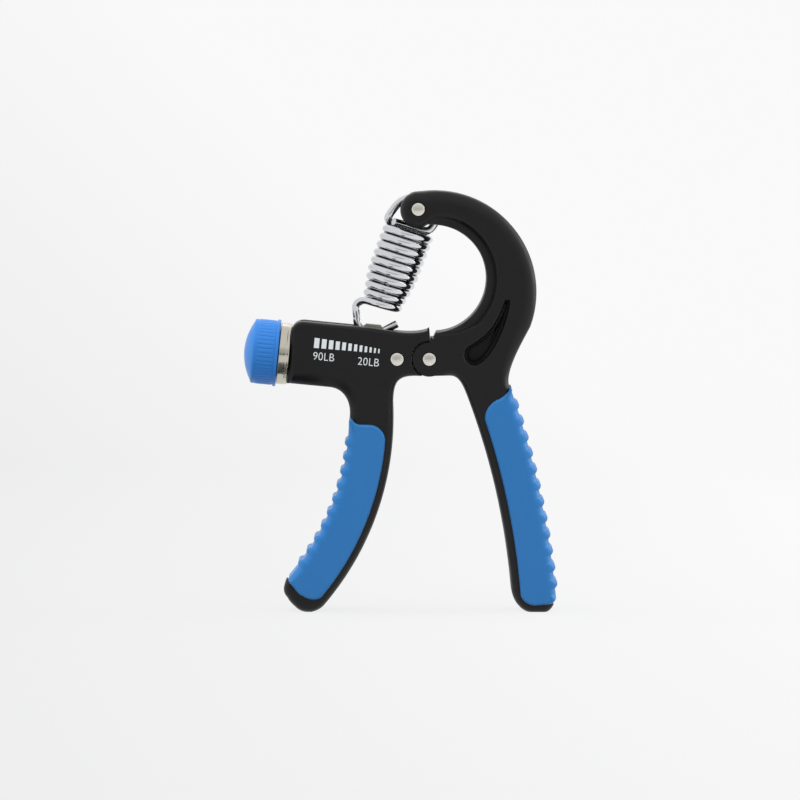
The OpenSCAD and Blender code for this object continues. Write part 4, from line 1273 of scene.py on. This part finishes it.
class GRIPPER_OT_scale(bpy.types.Operator):
    """Print the tension scale on the barrel"""
    bl_idname = "gripper.scale"
    bl_label = "Tension scale"

    def execute(self, context):
        ink = white_ink()
        piece = made("scale_marks", [(0, 0, 0), (1, 0, 0), (0, 0, 1)], [(0, 1, 2)])
        with_tree(piece, marks_tree(), First_spacing=2.85 * MM, Last_spacing=1.46 * MM,
                  First_width=1.95 * MM, Last_width=0.58 * MM, First_height=3.8 * MM, Last_height=1.6 * MM,
                  Thickness=0.03 * MM, Drop=0.75 * MM, Count=12, Material=ink)
        place = Matrix.Translation((-31.9 * MM, PRINT_Y * MM, 102.4 * MM))
        piece.data.transform(place @ Matrix.Rotation(BARREL_TILT, 4, "Y"))
        finished(piece, "left_handle", "washer_white", ink)
        printed_text("scale_high", "90LB", 8.0, -33.4, 96.15, ink)
        printed_text("scale_low", "20LB", 8.0, -16.45, 94.2, ink)
        return {"FINISHED"}


class GRIPPER_OT_stage(bpy.types.Operator):
    """Set the floor, backdrop, lights and camera"""
    bl_idname = "gripper.stage"
    bl_label = "Stage"

    def execute(self, context):
        scene = context.scene
        scene.view_settings.view_transform = "Standard"
        sweep()
        reflection_cards()
        lamps()
        world()
        camera()
        return {"FINISHED"}


def bare_material(name):
    """A new material without nodes, and its tree."""
    material = bpy.data.materials.new(name)
    material.use_nodes = True
    material.node_tree.nodes.clear()
    return material, material.node_tree


def plainly_seen(tree):
    """A socket that is 1 for camera, glossy and transmission rays, and 0 for all others."""
    path = add_node(tree, "ShaderNodeLightPath").outputs
    seen = path["Is Camera Ray"]
    for rays in ("Is Glossy Ray", "Is Transmission Ray"):
        seen = add_node(tree, "ShaderNodeMath", links={0: seen, 1: path[rays]},
                        operation="MAXIMUM").outputs[0]
    return seen


def sweep():
    """A pale floor that curves up into a backdrop, which hides nothing from behind; its glow carries painted
    shade, a little darker towards the lower left.
    """
    profile = [(SWEEP_FRONT, 0)]
    for k in range(17):
        a = math.pi / 2 * k / 16
        profile.append((SWEEP_BEND + SWEEP_R * math.sin(a), SWEEP_R - SWEEP_R * math.cos(a)))
    profile.append((SWEEP_BEND + SWEEP_R, SWEEP_TOP))
    points = [(side * SWEEP_HALF, y, z) for y, z in profile for side in (-1, 1)]
    faces = [(2 * i, 2 * i + 1, 2 * i + 3, 2 * i + 2) for i in range(len(profile) - 1)]
    floor = made("stage_sweep", points, faces)
    floor.data.flip_normals()
    floor.data.polygons.foreach_set("use_smooth", [True] * len(floor.data.polygons))
    material, tree = bare_material("pale paper sweep")
    coords = add_node(tree, "ShaderNodeTexCoord").outputs["Object"]
    slant = add_node(tree, "ShaderNodeVectorMath", {1: (1.0, 0.1, 1.0)}, {0: coords},
                     operation="DOT_PRODUCT").outputs["Value"]
    shade = add_node(tree, "ShaderNodeMapRange", {"From Min": -0.16, "From Max": 0.24},
                     {"Value": slant}).outputs[0]
    # Painted shade: the glow's tone goes from darker at the lower left to lighter at the upper right.
    shaded_tone = add_node(tree, "ShaderNodeMix", {6: linear("#ededee"), 7: linear("#fbfbfb")}, {0: shade},
                    data_type="RGBA").outputs[2]
    paper = add_node(tree, "ShaderNodeBsdfDiffuse", {"Color": linear("#a8a8a8")}).outputs[0]
    glow = add_node(tree, "ShaderNodeEmission", {"Strength": 1.085}, {"Color": shaded_tone}).outputs[0]
    share = add_node(tree, "ShaderNodeMath", {1: 0.85}, {0: plainly_seen(tree)},
                     operation="MULTIPLY").outputs[0]
    mixed = add_node(tree, "ShaderNodeMixShader", links={0: share, 1: paper, 2: glow}).outputs[0]
    clear = add_node(tree, "ShaderNodeBsdfTransparent").outputs[0]
    rear = add_node(tree, "ShaderNodeNewGeometry").outputs["Backfacing"]
    one_sided = add_node(tree, "ShaderNodeMixShader", links={0: rear, 1: mixed, 2: clear}).outputs[0]
    add_node(tree, "ShaderNodeOutputMaterial", links={"Surface": one_sided})
    floor.data.materials.append(material)


def reflection_cards():
    """Cards that only reflections show: a bright one above, darker ones below and behind the camera."""
    for name, strength, (x0, x1), (y0, y1), (z0, z1) in (
            ("stage_collar_card", 0.02, (-68, -42), (-84, -15), (50, 50)),
            ("stage_barrel_card", 0.03, (-42, -31), (-40, -13), (78, 78)),
            ("stage_sky_card", 1.5, (-200, 260), (380, 700), (620, 460)),
            ("stage_line_card", 0.05, (-900, 900), (-2500, -2500), (-20, 220)),
            ("stage_back_card", 0.56, (-1600, 1600), (-2600, -2600), (-700, 1100))):
        material, tree = bare_material(name)
        glow = add_node(tree, "ShaderNodeEmission", {"Strength": strength}).outputs[0]
        add_node(tree, "ShaderNodeOutputMaterial", links={"Surface": glow})
        card = made(name, [(x0, y0, z0), (x1, y0, z0), (x1, y1, z1), (x0, y1, z1)], [(0, 1, 2, 3)])
        card.data.materials.append(material)
        card.visible_camera = False
        card.visible_diffuse = False
        card.visible_shadow = False
        card.visible_transmission = False


def lamps():
    """Large soft boxes above and at both sides, and a weak one in front."""
    for name, place, size, power in (
            ("top box", (0.0, -0.2, 1.3), (2.6, 1.8), 22),
            ("left side box", (-1.2, 0.15, 0.4), (0.8, 1.4), 11),
            ("right side box", (1.2, 0.15, 0.4), (0.8, 1.4), 10),
            ("front fill", (0.3, -1.9, 0.9), (1.0, 1.0), 11)):
        light = bpy.data.lights.new(name, "AREA")
        light.shape = "RECTANGLE"
        light.size, light.size_y = size
        light.energy = power
        lamp = placed(name, light)
        lamp.location = place
        aim = Vector((0, 0, 0.08)) - Vector(place)
        lamp.rotation_euler = aim.to_track_quat("-Z", "Y").to_euler()
        lamp.visible_camera = False
        lamp.visible_glossy = name == "right side box"


def world():
    """Even, dim light from all around; the camera and the metal see it brighter."""
    room = bpy.data.worlds.new("studio room")
    room.use_nodes = True
    tree = room.node_tree
    strength = add_node(tree, "ShaderNodeMapRange", {"To Min": ROOM_LIGHT, "To Max": ROOM_SEEN},
                        {"Value": plainly_seen(tree)}).outputs[0]
    tree.nodes["Background"].inputs["Color"].default_value = linear("#ffffff")
    tree.links.new(strength, tree.nodes["Background"].inputs["Strength"])
    bpy.context.scene.world = room


def camera():
    """A long lens, nearly level, straight in front."""
    lens = bpy.data.cameras.new("camera")
    lens.sensor_width = 36
    lens.lens = lens.sensor_width * VIEW_REACH / VIEW_W
    lens.clip_end = 20
    view = placed("camera", lens)
    back = Vector((0, -math.cos(VIEW_RISE), math.sin(VIEW_RISE)))
    view.location = (VIEW_AIM + VIEW_REACH * back) * MM
    view.rotation_euler = (math.pi / 2 - VIEW_RISE, 0, 0)
    bpy.context.scene.camera = view


class GRIPPER_PT_panel(bpy.types.Panel):
    """Lists the gripper's pieces"""
    bl_idname = "GRIPPER_PT_panel"
    bl_label = "Hand grip strengthener"
    bl_space_type = "VIEW_3D"
    bl_region_type = "UI"
    bl_category = "Gripper"

    def draw(self, context):
        for group in (context.scene.gripper_sizes, context.scene.gripper_colours):
            for name in group.__annotations__:
                self.layout.prop(group, name)
        for operator in OPERATORS:
            self.layout.operator(operator.bl_idname)


OPERATORS = (
    GRIPPER_OT_right_frame, GRIPPER_OT_left_frame, GRIPPER_OT_grips, GRIPPER_OT_pins, GRIPPER_OT_knob,
    GRIPPER_OT_collar, GRIPPER_OT_screw, GRIPPER_OT_spring, GRIPPER_OT_slider, GRIPPER_OT_small_parts,
    GRIPPER_OT_scale, GRIPPER_OT_stage,
)
CLASSES = (GripperSizes, GripperColours) + OPERATORS + (GRIPPER_PT_panel,)


def register():
    """Adds the classes and the scene's settings."""
    for cls in CLASSES:
        bpy.utils.register_class(cls)
    bpy.types.Scene.gripper_sizes = bpy.props.PointerProperty(type=GripperSizes)
    bpy.types.Scene.gripper_colours = bpy.props.PointerProperty(type=GripperColours)


def unregister():
    """Takes them away again."""
    del bpy.types.Scene.gripper_colours
    del bpy.types.Scene.gripper_sizes
    for cls in reversed(CLASSES):
        bpy.utils.unregister_class(cls)


def main():
    """Builds every piece in order."""
    register()
    for operator in OPERATORS:
        group, name = operator.bl_idname.split(".")
        getattr(getattr(bpy.ops, group), name)()


if __name__ == "__main__":
    main()
